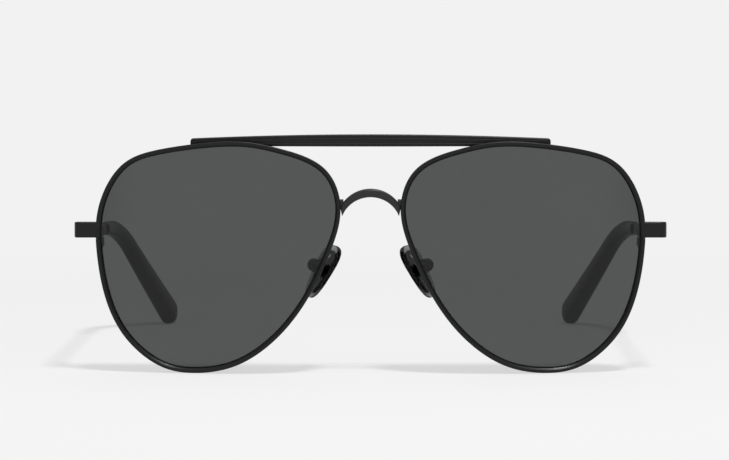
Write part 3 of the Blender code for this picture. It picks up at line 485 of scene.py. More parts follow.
def edge_frame(length):
    """Point, outward, back and along directions at a length round the edge, in the lens frame."""
    point = edge_point(length)
    axis = np.array((0.0, 1.0, 0.0))
    along = edge_point(length + SLOPE_STEP) - edge_point(length - SLOPE_STEP)
    level = np.cross(along, axis)
    level /= np.linalg.norm(level)
    if level @ point < 0:
        level = -level
    outward = math.cos(RIM_SLOPE) * level + math.sin(RIM_SLOPE) * axis
    back = math.cos(RIM_SLOPE) * axis - math.sin(RIM_SLOPE) * level
    return point, outward, back, np.cross(back, outward)


def edge_ring(length, section):
    """A section of outward and back offsets, set on the edge."""
    point, outward, back, _ = edge_frame(length)
    return [point + offset * outward + depth * back for offset, depth in section]


def rim_place(level, side, offset, depth):
    """A point of the rim in the front's frame, and the rim's outward, back and along directions there."""
    point, outward, back, along = edge_frame(edge_length(level, side))
    turn = LENS_SEAT.to_3x3()
    place = LENS_SEAT @ Vector(point + offset * outward + depth * back)
    return place, turn @ Vector(outward), turn @ Vector(back), turn @ Vector(along)


# Where the front stands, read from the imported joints

def endpiece_plan():
    """Outer X and front Y of the endpiece, and the hinge axis, in the front's frame."""
    corner = rim_place(ENDPIECE_LEVEL, TEMPORAL, RIM_WALL, -RIM_FRONT)[0]
    outer = corner.x + ENDPIECE_REACH
    middle = corner.y + STRIP_THICKNESS / 2
    hinge = Vector(
        (
            outer - STRIP_THICKNESS - HINGE_OFFSET,
            middle + ENDPIECE_RETURN * math.cos(PANTOSCOPIC),
            ENDPIECE_LEVEL - ENDPIECE_RETURN * math.sin(PANTOSCOPIC),
        )
    )
    return corner.x, outer, corner.y, hinge


def standing_front():
    """The front's place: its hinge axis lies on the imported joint's."""
    joint = next(item for item in frame["joints"] if item["name"] == "temple_left_fold")
    lean = PANTOSCOPIC - math.atan2(joint["axis"][1], joint["axis"][2])
    turn = Matrix.Rotation(lean, 4, "X")
    return Matrix.Translation(Vector(joint["pos_m"]) - turn @ endpiece_plan()[3]) @ turn


FRONT = standing_front()
HINGE = Matrix.Translation(endpiece_plan()[3]) @ Matrix.Rotation(-PANTOSCOPIC, 4, "X")


# Shapes of the front

def rim_shape():
    """Split ring with a lens groove, a bright inner chamfer and rounded edges."""
    mouth = BEVEL_HALF_WIDTH + 2 * SEAT_GAP
    inner = -BEVEL_HEIGHT
    section = rounded_polygon(
        [
            (inner, -mouth, 0),
            (inner, -RIM_FRONT + RIM_INNER_CHAMFER, RIM_CHAMFER_EDGES[0]),
            (inner + RIM_INNER_CHAMFER, -RIM_FRONT, RIM_CHAMFER_EDGES[1]),
            (RIM_WALL - SKIN, -RIM_FRONT, RIM_ROUNDING),
            (RIM_WALL - SKIN, RIM_BACK, RIM_ROUNDING),
            (inner, RIM_BACK, RIM_BACK_ROUNDING),
            (inner, mouth, 0),
            (SEAT_GAP, 0, 0),
        ]
    )
    start = edge_length(SPLIT_LEVEL, TEMPORAL)
    lengths = np.linspace(start + RIM_SPLIT / 2, start + EDGE_TOTAL - RIM_SPLIT / 2, RIM_STATIONS)
    return moved(loft([edge_ring(length, section) for length in lengths]), LENS_SEAT)


def on_dome(point, share, depth):
    """The place at a share of a point's height and width, on a lens surface at some depth."""
    across = point[0] * share
    up = point[2] * share
    radius = LENS_CURVE_RADIUS - depth
    return across, LENS_CURVE_RADIUS - math.sqrt(radius**2 - across**2 - up**2), up


def lens_shape():
    """Curved lens with a bevelled edge."""
    inset = -BEVEL_HEIGHT - SEAT_GAP
    bevel = [(inset, -BEVEL_HALF_WIDTH), (0, 0), (inset, BEVEL_HALF_WIDTH)]
    lengths = np.arange(RIM_STATIONS) / RIM_STATIONS * EDGE_TOTAL
    bevel_rings = [[edge_ring(length, [place])[0] for length in lengths] for place in bevel]
    front = SKIN - BEVEL_SETBACK
    back = LENS_THICKNESS - BEVEL_SETBACK
    shares = np.linspace(0, 1, LENS_RINGS)[1:]
    front_edge = [edge_ring(length, [(inset, front)])[0] for length in lengths]
    back_edge = [edge_ring(length, [(inset, back)])[0] for length in lengths]
    front_rings = [[on_dome(point, share, front) for point in front_edge] for share in shares]
    back_rings = [[on_dome(point, share, back) for point in back_edge] for share in shares]
    rings = front_rings + bevel_rings + back_rings[::-1]
    return moved(loft(rings, start_tip=(0, front, 0), end_tip=(0, back, 0)), LENS_SEAT)


def bridge_shape():
    """Arched strap that stops short of the rims, with a foot at each end to join it to them."""
    half_gap = NOSE_GAP / 2 - RIM_WALL
    upper_radius = half_gap + BRIDGE_SPREAD
    lower_radius = upper_radius - BRIDGE_TAPER
    upper_sweep = math.asin((half_gap - BRIDGE_UPPER_STOP) / upper_radius)
    lower_sweep = math.asin((half_gap - BRIDGE_LOWER_STOP) / lower_radius)
    upper_centre = BRIDGE_TOP - upper_radius
    lower_centre = BRIDGE_TOP - BRIDGE_THICKNESS - lower_radius
    foot_level = BRIDGE_TOP - BRIDGE_FOOT_DROP
    foot_end = rim_place(foot_level, NASAL, 0, 0)[0]
    stations = 100
    rings = []
    for share in np.linspace(-1, 1, stations):
        upper_angle = share * upper_sweep
        lower_angle = share * lower_sweep
        upper = upper_radius * np.array((math.sin(upper_angle), 0, math.cos(upper_angle)))
        lower = lower_radius * np.array((math.sin(lower_angle), 0, math.cos(lower_angle)))
        upper += (0, 0, upper_centre)
        lower += (0, 0, lower_centre)
        middle = (upper + lower) / 2 + (0, foot_end.y - BRIDGE_BOW * (1 - share**2), 0)
        half = (upper - lower) / 2
        thickness = np.linalg.norm(half)
        section = rounded_rectangle(BRIDGE_DEPTH / 2, thickness, BRIDGE_ROUNDING)
        rings.append([middle + (0, y, 0) + half * (rise / thickness) for y, rise in section])
    shape = loft(rings)
    outline = rounded_rectangle(BRIDGE_FOOT_DEPTH / 2, BRIDGE_FOOT_HEIGHT / 2, BRIDGE_FOOT_DEPTH / 3)
    foot_start = half_gap - BRIDGE_UPPER_STOP - BRIDGE_FOOT_REACH
    for side in (-1, 1):
        foot = prism(outline, side * foot_start, side * foot_end.x)
        place = axes_matrix((0, foot_end.y, foot_level), (0, 1, 0), (0, 0, 1), (1, 0, 0))
        shape = combined(shape, moved(foot, place), "UNION")
    return shape


def bar_section(half_height):
    """The bar's outline: rounded edges, and two fine grooves along its front."""
    front = -BAR_DEPTH / 2
    corners = [
        (-front, -half_height, BAR_BACK_ROUNDING),
        (-front, half_height, BAR_BACK_ROUNDING),
        (front, half_height, BAR_FRONT_ROUNDING),
    ]
    for share in sorted(BAR_GROOVE_LEVELS, reverse=True):
        level = (2 * share - 1) * half_height
        for depth, rise in ((0, BAR_GROOVE_HALF), (BAR_GROOVE_DEPTH, 0), (0, -BAR_GROOVE_HALF)):
            corners.append((front + depth, level + rise, BAR_GROOVE_ROUNDING))
    corners.append((front, -half_height, BAR_FRONT_ROUNDING))
    return rounded_polygon(corners, CORNER_STEPS - 1)


def bar_shape():
    """Strip with an arched top edge, bent to follow the backs of the rims."""
    half_length = LENS_CENTRE + BAR_OVERHANG
    top = LENS_HEIGHT / 2 + BAR_RISE - BAR_TRIM
    bottom = top - BAR_HEIGHT
    point, _, back, _ = edge_frame(EDGE_LENGTHS[np.argmax(EDGE_POINTS[:, 2])])
    touch = LENS_SEAT @ Vector(point + back * RIM_BACK)
    ends = [(half_length - back, cut) for cut, back in easing(BAR_END_RADIUS, 6)]
    middle_stations = 121
    middle = [(x, 0) for x in np.linspace(-1, 1, middle_stations)[1:-1] * (half_length - BAR_END_RADIUS)]
    stations = [(-x, cut) for x, cut in ends] + middle + ends[::-1]
    rings = []
    for x, cut in stations:
        front = touch.y - BAR_SEAT + (x**2 - touch.x**2) / (2 * BAR_PLAN_RADIUS)
        high = top - BAR_DROP * (x / half_length) ** 2 - cut
        section = bar_section((high - bottom) / 2)
        rings.append([(x, front + BAR_DEPTH / 2 + y, (high + bottom) / 2 + z) for y, z in section])
    return loft(rings)


def endpiece_shape():
    """Strip that leaves the rim sideways and turns back to the hinge, sloping with the temple."""
    rim_x, outer, front, hinge = endpiece_plan()
    section = rounded_rectangle(STRIP_THICKNESS / 2, STRIP_HEIGHT / 2, STRIP_ROUNDING)
    middle = front + STRIP_THICKNESS / 2
    arc_radius = ENDPIECE_CORNER - STRIP_THICKNESS / 2
    arc_x = outer - ENDPIECE_CORNER
    arc_y = front + ENDPIECE_CORNER
    stations = [(rim_x - ENDPIECE_SINK, middle, 0.0)]
    corner_steps = 16
    for turn in np.linspace(0, math.pi / 2, corner_steps):
        stations.append((arc_x + arc_radius * math.sin(turn), arc_y - arc_radius * math.cos(turn), turn))
    butt = hinge.y - BUTT_GAP / 2 * math.cos(PANTOSCOPIC)
    stations.append((outer - STRIP_THICKNESS / 2, butt, math.pi / 2))
    rings = []
    for x, y, turn in stations:
        slope = PANTOSCOPIC * turn / (math.pi / 2)
        level = ENDPIECE_LEVEL - math.tan(PANTOSCOPIC) * (y - middle)
        outward = np.array((math.sin(turn), -math.cos(turn), 0))
        up = np.array((0, math.sin(slope), math.cos(slope)))
        rings.append([np.array((x, y, level)) + out * outward + rise * up for out, rise in section])
    return loft(rings)


def closing_matrix():
    """The frame of the closing blocks: the split in the rim, with Z up along the rim."""
    place, outward, back, along = rim_place(SPLIT_LEVEL, TEMPORAL, 0, 0)
    if along.z < 0:
        along = -along
    middle = BLOCK_WIDTH / 2 - BEVEL_HEIGHT
    depth = RIM_BACK - BLOCK_SINK + BLOCK_DEPTH / 2
    return axes_matrix(place + outward * middle + back * depth, outward, back, along)


def block_shape(sign):
    """Upper (1) or lower (-1) closing block with rounded edges."""
    near = sign * RIM_SPLIT / 2
    far = near + sign * BLOCK_HEIGHT

    def outline(inset):
        return rounded_rectangle(BLOCK_WIDTH / 2 - inset, BLOCK_DEPTH / 2 - inset, BLOCK_CORNER - inset)

    return moved(eased_prism(outline, min(near, far), max(near, far), BLOCK_EDGE), closing_matrix())


def screw_shape(radius, length, head_radius, head_height):
    """A slotted screw along Z with a domed head: the head sits on Z = 0 and the shank runs down."""
    point = radius * SCREW_POINT
    profile = [(radius - point, -length), (radius, -length + point), (radius, 0), (head_radius, 0)]
    dome = easing(head_height * SCREW_DOME, 5)
    profile += [(head_radius - inset, head_height - drop) for drop, inset in dome]
    slot_half = head_radius * SCREW_SLOT_HALF
    slot_outline = rounded_rectangle(head_radius * 2, slot_half, slot_half * 0.2, 2)
    slot = prism(slot_outline, head_height * SCREW_SLOT_FLOOR, head_height * 2)
    return combined(turned(profile), slot, "DIFFERENCE")


def rim_screw_shape():
    """Screw up through both blocks, with its head under the lower one."""
    length = RIM_SPLIT + 2 * BLOCK_HEIGHT + SEAT_GAP
    shape = screw_shape(RIM_SCREW_RADIUS, length, RIM_SCREW_HEAD_RADIUS, RIM_SCREW_HEAD)
    seat = -RIM_SPLIT / 2 - BLOCK_HEIGHT - SEAT_GAP
    flip = Matrix.Rotation(math.pi, 4, "X")
    return moved(shape, closing_matrix() @ Matrix.Translation((0, 0, seat)) @ flip)


# Hinges, in the frame of the hinge axis: Y along the temple, Z along the axis

def knuckle_levels():
    """Low and high level of the lower, middle and upper knuckle."""
    height = (HINGE_HEIGHT - 2 * RUNNING_GAP) / 3
    lows = [-HINGE_HEIGHT / 2 + index * (height + RUNNING_GAP) for index in range(3)]
    return [(low, low + height) for low in lows]


def knuckle_shape(low, high):
    """A bored barrel with rounded rims."""
    bore = HINGE_SCREW_RADIUS + RUNNING_GAP
    edge = KNUCKLE_EDGE
    cut = edge * 0.3
    eased = [(KNUCKLE_RADIUS - edge, 0), (KNUCKLE_RADIUS - cut, cut), (KNUCKLE_RADIUS, edge)]
    profile = [(bore, low)] + [(radius, low + rise) for radius, rise in eased]
    profile += [(radius, high - rise) for radius, rise in reversed(eased)] + [(bore, high)]
    return turned(profile, closed=True)


def leaf_shape(sign, length, levels):
    """Hinge leaf ahead of (-1) or behind (1) the axis: a plate, with knuckles at some levels."""
    outer = HINGE_OFFSET - SEAT_GAP
    inner = outer - LEAF_THICKNESS
    bore = HINGE_SCREW_RADIUS + RUNNING_GAP
    clear = KNUCKLE_RADIUS + RUNNING_GAP * 2
    inside = 0.05 * MM
    half_height = HINGE_HEIGHT / 2
    ends = sorted((sign * clear, sign * length))
    shape = eased_box((inner, ends[0], -half_height), (outer, ends[1], half_height), LEAF_EDGE)
    for low, high in levels:
        ends = sorted((0.0, sign * (clear + 6 * inside)))
        neck_low = (bore + inside, ends[0], low + inside)
        neck_high = (outer - inside, ends[1], high - inside)
        neck = eased_box(neck_low, neck_high, LEAF_EDGE)
        knuckle = combined(knuckle_shape(low, high), neck, "UNION")
        shape = combined(shape, knuckle, "UNION")
    return moved(shape, HINGE)


def hinge_screw_shape():
    """Screw down through the three knuckles."""
    length = HINGE_HEIGHT + SEAT_GAP + HINGE_SCREW_TAIL
    shape = screw_shape(HINGE_SCREW_RADIUS, length, HINGE_SCREW_HEAD_RADIUS, HINGE_SCREW_HEAD)
    return moved(shape, HINGE @ Matrix.Translation((0, 0, HINGE_HEIGHT / 2 + SEAT_GAP)))


# Temples, in the frame of the hinge axis

def leaning_length(length):
    """How far the temple has leaned in by a length, with the corner where that starts rounded off."""
    past = length - BEND_START
    if past > LEAN_ROUNDING:
        return past
    return max(past + LEAN_ROUNDING, 0.0) ** 2 / (4 * LEAN_ROUNDING)


def temple_point(length):
    """The temple's middle line: straight, then bent down over the ear and leaning in."""
    arc = BEND_RADIUS * BEND_ANGLE
    bent = min(max(length - BEND_START, 0.0), arc) / BEND_RADIUS
    beyond = max(length - BEND_START - arc, 0.0)
    straight = min(length, BEND_START)
    lean = leaning_length(length) / leaning_length(TEMPLE_LENGTH)
    return np.array(
        (
            HINGE_OFFSET + STRIP_THICKNESS / 2 - TIP_INSET * lean**TIP_LEAN_EASE,
            straight + BEND_RADIUS * math.sin(bent) + beyond * math.cos(BEND_ANGLE),
            -BEND_RADIUS * (1 - math.cos(bent)) - beyond * math.sin(BEND_ANGLE),
        )
    )


def temple_ring(length, section, slope_step=SLOPE_STEP):
    """A section of outward and upward offsets, set square on the temple's middle line."""
    along = temple_point(length + slope_step) - temple_point(length - slope_step)
    along /= np.linalg.norm(along)
    outward = np.array((1.0, 0, 0)) - along * along[0]
    outward /= np.linalg.norm(outward)
    up = np.cross(outward, along)
    return [temple_point(length) + out * outward + rise * up for out, rise in section]


def arm_shape():
    """Flat strip with rounded edges, tapering in height towards the tip."""
    rings = []
    for length in (BUTT_GAP / 2, TIP_START, TIP_START + ARM_TONGUE):
        share = length / TIP_START
        height = STRIP_HEIGHT + (ARM_END_HEIGHT - STRIP_HEIGHT) * min(share, 1)
        rings.append(temple_ring(length, rounded_rectangle(STRIP_THICKNESS / 2, height / 2, STRIP_ROUNDING)))
    return moved(loft(rings), HINGE)


def tip_section(length, inset):
    """Rounded section of the tip: taller and thicker towards its end."""
    share = (length - TIP_START) / (TEMPLE_LENGTH - TIP_START)
    half_height = (TIP_MOUTH_HEIGHT + (TIP_END_HEIGHT - TIP_MOUTH_HEIGHT) * share**TIP_FLARE) / 2 - SKIN
    half_thickness = (TIP_MOUTH_THICKNESS + (TIP_END_THICKNESS - TIP_MOUTH_THICKNESS) * share) / 2 - SKIN
    points = []
    for index in range(ROUND_SIDES):
        wide, high = squarish((index + 0.5) / ROUND_SIDES * 2 * math.pi, TIP_SQUARENESS)
        points.append((wide * half_thickness * inset, high * half_height * inset))
    return points


def tip_shape():
    """Smooth sleeve with an eased mouth and a round end."""
    places = []
    for inset, along in easing(TIP_MOUTH_EDGE, 5)[:-1]:
        places.append((TIP_START + along, 1 - inset / (TIP_MOUTH_THICKNESS / 2)))
    end = TEMPLE_LENGTH - SKIN
    round_start = end - TIP_ROUNDING
    sleeve_stations = 70
    for length in np.linspace(TIP_START + TIP_MOUTH_EDGE, round_start, sleeve_stations):
        places.append((length, 1.0))
    end_steps = 14
    for angle in np.linspace(0, math.pi / 2, end_steps)[1:-1]:
        places.append((round_start + TIP_ROUNDING * math.sin(angle), math.cos(angle)))
    wide_step = 2.5 * MM
    rings = [temple_ring(length, tip_section(length, inset), wide_step) for length, inset in places]
    return moved(loft(rings, end_tip=temple_point(end)), HINGE)


# Nose pads, in a frame at the rocking axis: X across the pad, Y up along it, Z towards the nose

def pad_matrix():
    """The left pad's frame, in the front's."""
    across = Vector((math.sin(PAD_SPLAY), math.cos(PAD_SPLAY), 0))
    level = math.cos(PAD_FRONTAL_ANGLE)
    nose = Vector((-math.cos(PAD_SPLAY) * level, math.sin(PAD_SPLAY) * level, -math.sin(PAD_FRONTAL_ANGLE)))
    rim = rim_place(PAD_LEVEL, NASAL, 0, 0)[0]
    pivot = Vector((rim.x + PAD_OUT, rim.y + PAD_BACK, PAD_LEVEL))
    return axes_matrix(pivot, across, across.cross(nose), nose)


PAD = pad_matrix()


def pad_outline(width, length):
    """A squarish oval, fuller at its upper end."""
    points = []
    for index in range(ROUND_SIDES * 2):
        wide, high = squarish(index / (ROUND_SIDES * 2) * 2 * math.pi, PAD_SQUARENESS)
        points.append((width / 2 * wide * (1 + PAD_FULLNESS * high), length / 2 * high - PAD_SINK))
    return points


def pad_shape():
    """Soft pad: flat back with an eased edge, full side and a crowned face."""
    rings = []

    def ring(height, inset):
        outline = pad_outline(PAD_WIDTH - 2 * inset, PAD_LENGTH - 2 * inset)
        rings.append(at_height(outline, PAD_BACK_FACE + height))

    first_turn = 0.15  # the back is flat up to here
    for angle in np.linspace(first_turn, 1, 7) * math.pi / 2:
        ring(PAD_BELLY * (1 - math.cos(angle)), PAD_BACK_EDGE * (1 - math.sin(angle)))
    face = PAD_THICKNESS - PAD_BELLY
    for angle in np.linspace(0, 1, 14)[1:-1] * math.pi / 2:
        ring(PAD_BELLY + face * math.sin(angle), PAD_WIDTH / 2 * (1 - math.cos(angle) ** PAD_CROWN))
    crown = (0, -PAD_SINK, PAD_BACK_FACE + PAD_THICKNESS)
    return moved(loft(rings, end_tip=crown), PAD)


def tab_outline(radius):
    """Side view of the tab: round about the rocking axis, then straight towards the nose to the plate."""
    top = PLATE_LOW + CORE_PLATE_THICKNESS / 2
    points = [(top, -radius), (top, radius)]
    for turn in np.linspace(0.5, 1.5, ROUND_SIDES - 2) * math.pi:
        points.append((radius * math.cos(turn), radius * math.sin(turn)))
    return points


ON_TAB = axes_matrix((0, 0, 0), (0, 0, 1), (0, 1, 0), (1, 0, 0))


def pad_core_shape():
    """Plate inside the pad, pierced at both ends, with a bored tab that reaches into the box."""

    def plate_outline(inset):
        return pad_outline(CORE_PLATE_WIDTH - 2 * inset, CORE_PLATE_LENGTH - 2 * inset)

    plate = eased_prism(plate_outline, PLATE_LOW, PLATE_LOW + CORE_PLATE_THICKNESS, CORE_PLATE_EDGE)
    hole = prism(circle(CORE_HOLE_RADIUS), PLATE_LOW - MM, PLATE_LOW + MM)
    for end in (-1, 1):
        place = Matrix.Translation((0, -PAD_SINK + end * CORE_PLATE_LENGTH * CORE_HOLE_PLACE, 0))
        plate = combined(plate, moved(hole, place), "DIFFERENCE")
    outline = tab_outline(TAB_RADIUS)
    radius = PAD_SCREW_RADIUS + RUNNING_GAP
    turns = [math.atan2(y, x) for x, y in outline]
    bore = [(radius * math.cos(turn), radius * math.sin(turn)) for turn in turns]
    half = TAB_THICKNESS / 2
    levels = ((outline, -half), (outline, half), (bore, half), (bore, -half))
    tab = loft([at_height(points, level) for points, level in levels], closed=True)
    return moved(combined(plate, moved(tab, ON_TAB), "UNION"), PAD)


def pad_box_outline(inset):
    """Side view of the box, shrunk by an inset: straight sides, closed by half a circle."""
    radius = PAD_BOX_LENGTH / 2 - inset
    middle = PAD_BOX_LENGTH / 2 - TAB_RADIUS - 2 * RUNNING_GAP - PAD_BOX_FLOOR
    points = [(PAD_BOX_TOP - inset, -radius), (PAD_BOX_TOP - inset, radius)]
    for turn in np.linspace(0.5, 1.5, ROUND_SIDES) * math.pi:
        points.append((middle + radius * math.cos(turn), radius * math.sin(turn)))
    return points


def pad_box_shape():
    """Round-backed block with a slot for the tab and a cross hole for the screw."""
    slot_low = -TAB_RADIUS - 2 * RUNNING_GAP
    block = moved(eased_prism(pad_box_outline, -PAD_BOX_WIDTH / 2, PAD_BOX_WIDTH / 2, PAD_BOX_EDGE), ON_TAB)
    slot = TAB_THICKNESS / 2 + RUNNING_GAP
    room = prism(rounded_rectangle(slot, PAD_BOX_LENGTH, slot * 0.1, 2), slot_low, PAD_BOX_TOP * 2)
    bore = prism(circle(PAD_SCREW_RADIUS + RUNNING_GAP), -PAD_BOX_WIDTH, PAD_BOX_WIDTH)
    block = combined(block, room, "DIFFERENCE")
    return moved(combined(block, moved(bore, ON_TAB), "DIFFERENCE"), PAD)


def pad_screw_shape():
    """Screw across the box and the tab."""
    shape = screw_shape(PAD_SCREW_RADIUS, PAD_BOX_WIDTH + SEAT_GAP, PAD_SCREW_HEAD_RADIUS, PAD_SCREW_HEAD)
    seat = axes_matrix((PAD_BOX_WIDTH / 2 + SEAT_GAP, 0, 0), (0, 1, 0), (0, 0, 1), (1, 0, 0))
    return moved(shape, PAD @ seat)


def pad_arm_shape():
    """Bent round wire from a spread foot on the rim's back to the front side of the box."""
    middle = (RIM_WALL - BEVEL_HEIGHT) / 2
    foot, _, rim_back, _ = rim_place(PAD_LEVEL + PAD_WIRE_FOOT, NASAL, middle, RIM_BACK + SEAT_GAP)
    across = PAD.to_3x3() @ Vector((1, 0, 0))
    aside = PAD_SCREW_RADIUS + PAD_WIRE_RADIUS + 3 * RUNNING_GAP
    end = PAD @ Vector((-PAD_BOX_WIDTH / 2 - SEAT_GAP, 0, -aside))
    handles = (foot, foot + rim_back * PAD_WIRE_REACH, end - across * PAD_WIRE_REACH, end)
    section = circle(PAD_WIRE_RADIUS, ROUND_SIDES // 2)
    steps = 48
    rings = []
    for share in np.linspace(0, 1, steps):
        rest = 1 - share
        weights = (rest**3, 3 * rest**2 * share, 3 * rest * share**2, share**3)
        slopes = (-rest**2, rest**2 - 2 * rest * share, 2 * rest * share - share**2, share**2)
        place = sum((handle * weight for handle, weight in zip(handles, weights)), Vector())
        along = sum((handle * slope for handle, slope in zip(handles, slopes)), Vector()).normalized()
        side = along.cross(Vector((0, 0, 1))).normalized()
        up = side.cross(along)
        flare = 1 + PAD_WIRE_SPREAD * math.exp(-share * PAD_WIRE_SPREAD_FALL)
        rings.append([place + (side * x + up * y) * flare for x, y in section])
    return loft(rings)


# Materials

PAD_SMOKE = 560.0  # absorption per metre
GRAIN_DEPTH = 0.02 * MM
NOISE_RANGE = (0.3, 0.7)  # where most of a noise's values lie


def add_node(tree, kind, **inputs):
    """A new shader node, with its inputs set to values or linked to other nodes' outputs."""
    node = tree.nodes.new("ShaderNode" + kind)
    for name, value in inputs.items():
        socket = node.inputs[name.replace("_", " ")]
        if isinstance(value, bpy.types.NodeSocket):
            tree.links.new(value, socket)
        else:
            socket.default_value = value
    return node


def math_node(tree, operation, *values):
    """The output of a math node, such as a maximum, of other nodes' outputs."""
    node = add_node(tree, "Math")
    node.operation = operation
    for value, socket in zip(values, node.inputs):
        tree.links.new(value, socket)
    return node.outputs["Value"]


def map_range(tree, value, reach, start, end):
    """A node that goes from start to end as a value goes through its reach, from low to high."""
    low, high = reach
    return add_node(tree, "MapRange", Value=value, From_Min=low, From_Max=high, To_Min=start, To_Max=end)


def smooth_step(tree, value, reach, start=0.0, end=1.0):
    """The output of a range that starts and ends gently."""
    node = map_range(tree, value, reach, start, end)
    node.interpolation_type = "SMOOTHSTEP"
    return node.outputs["Result"]


class Surface:
    """A Principled material with a few nodes to vary it."""

    def __init__(self, name, **constants):
        self.material = bpy.data.materials.new(name)
        self.material.use_nodes = True
        self.tree = self.material.node_tree
        self.shader = self.tree.nodes["Principled BSDF"]
        for socket, value in constants.items():
            self.shader.inputs[socket.replace("_", " ")].default_value = value
        self.place = add_node(self.tree, "TexCoord").outputs["Object"]

    def noise(self, scale, detail=4.0):
        """Noise in the object's own space. A grain of size s takes a scale of about 1 / s."""
        return add_node(self.tree, "TexNoise", Vector=self.place, Scale=scale, Detail=detail).outputs["Fac"]

    def colour(self, value, low, high):
        """A base colour that a noise varies between two colours."""
        node = add_node(self.tree, "ValToRGB", Fac=value)
        for element, at, colour in zip(node.color_ramp.elements, NOISE_RANGE, (low, high)):
            element.position = at
            element.color = (*colour, 1.0)
        self.tree.links.new(node.outputs["Color"], self.shader.inputs["Base Color"])

    def roughness(self, value, low, high):
        node = map_range(self.tree, value, NOISE_RANGE, low, high)
        self.tree.links.new(node.outputs["Result"], self.shader.inputs["Roughness"])

    def bump(self, value, strength):
        node = add_node(self.tree, "Bump", Height=value, Strength=strength, Distance=GRAIN_DEPTH)
        self.tree.links.new(node.outputs["Normal"], self.shader.inputs["Normal"])


def black_metal(name, tone):
    """Satin black coating: very fine grain, and slightly uneven gloss."""
    surface = Surface(name, Specular_IOR_Level=0.25)
    low = 0.85 * tone
    high = 1.15 * tone
    surface.colour(surface.noise(900), (low, low, 1.06 * low), (high, high, 1.06 * high))
    surface.roughness(surface.noise(2500), 0.3, 0.42)
    surface.bump(surface.noise(16000, 2.0), 0.12)
    return surface.material


def screw_steel():
    """Blackened steel with a fine grain."""
    surface = Surface("blackened_steel", Metallic=1.0)
    surface.colour(surface.noise(3000), (0.045, 0.045, 0.047), (0.065, 0.065, 0.068))
    surface.roughness(surface.noise(9000), 0.24, 0.38)
    surface.bump(surface.noise(14000, 2.0), 0.15)
    return surface.material


def lens_glass():
    """Grey tinted lens with an anti-reflection coat."""
    surface = Surface("grey_lens", Transmission_Weight=1.0, IOR=1.33, Roughness=0.0)
    surface.colour(surface.noise(60, 2.0), (0.0830, 0.0888, 0.0861), (0.0850, 0.0908, 0.0881))
    return surface.material


def tip_plastic():
    """Black acetate, softly polished."""
    surface = Surface("black_acetate", Specular_IOR_Level=0.35)
    surface.colour(surface.noise(300), (0.006, 0.006, 0.0065), (0.009, 0.009, 0.0095))
    surface.roughness(surface.noise(700), 0.26, 0.36)
    surface.bump(surface.noise(5000, 3.0), 0.06)
    return surface.material


def lens_edge_black():
    """Near-black lens edge: painted shade for the dark band of the rim's groove seen through the lens."""
    surface = Surface("painted_shade_lens_edge", Specular_IOR_Level=0.1)
    surface.colour(surface.noise(2000), (0.003, 0.003, 0.003), (0.005, 0.005, 0.005))
    surface.roughness(surface.noise(4000), 0.6, 0.8)
    return surface.material


def pad_smoky():
    """Smoky soft plastic, which lets more light through where it is thin."""
    surface = Surface("smoky_pad", Transmission_Weight=1.0, IOR=1.16)
    surface.colour(surface.noise(400), (0.84, 0.84, 0.84), (0.9, 0.9, 0.9))
    surface.roughness(surface.noise(1200), 0.06, 0.12)
    smoke = add_node(surface.tree, "VolumeAbsorption", Color=(0.02, 0.02, 0.02, 1), Density=PAD_SMOKE)
    surface.tree.links.new(smoke.outputs["Volume"], surface.tree.nodes["Material Output"].inputs["Volume"])
    return surface.material


# Stage

BACKGROUND = 0.886  # linear value of the photograph's plain ground
FILL = 0.42  # light from all round
FLOOR_GLOW = 0.64  # share of the floor's light that no shadow takes
SIDE_DARK = 0.1  # what shiny faces mirror at the sides
SIDE_RANGE = (0.6, 0.9)  # how far aside the dark screens set in, in parts of a unit direction
TOP_RANGE = (0.25, 0.65)  # how far up, and then how far back, they give way to the plain ground
BACK_RANGE = (-0.1, 0.25)
FLOOR_ALBEDO = 0.9
FLOOR_HALF = 4.0
FLOOR_FADE = (0.13, 0.4)  # from the middle, where the floor turns into the plain ground
KEY_SIZE = 0.28
KEY_ENERGY = 18.9
KEY_PLACE = (0.252, -0.69, 1.53)
KEY_AIM = (0, -0.04, 0)
RIM_PLANE = -0.0714  # depth at which the photograph's scale is measured
CAMERA_DISTANCE = 0.810  # ahead of that plane
CAMERA_HEIGHT = 0.087
METRES_PER_PIXEL = 0.2436 * MM
IMAGE_WIDTH = 729
IMAGE_CENTRE = (364.0, 229.5)
OBJECT_MIDDLE_PIXEL = 370.1
GROUND_PIXEL = 376.4  # the row of the ground under the rims, straight below the image's middle


def add_camera():
    camera = bpy.data.objects.new("camera", bpy.data.cameras.new("camera"))
    bpy.context.scene.collection.objects.link(camera)
    aim_height = (GROUND_PIXEL - IMAGE_CENTRE[1]) * METRES_PER_PIXEL
    pitch = math.atan2(CAMERA_HEIGHT - aim_height, CAMERA_DISTANCE)
    across = (IMAGE_CENTRE[0] - OBJECT_MIDDLE_PIXEL) * METRES_PER_PIXEL
    camera.location = (across, RIM_PLANE - CAMERA_DISTANCE, CAMERA_HEIGHT)
    camera.rotation_euler = (math.pi / 2 - pitch, 0, 0)
    camera.data.sensor_width = 36.0
    distance = CAMERA_DISTANCE / math.cos(pitch)
    camera.data.lens = camera.data.sensor_width * distance / (IMAGE_WIDTH * METRES_PER_PIXEL)
    camera.data.clip_start = 0.01
    camera.data.clip_end = 50.0
    bpy.context.scene.camera = camera


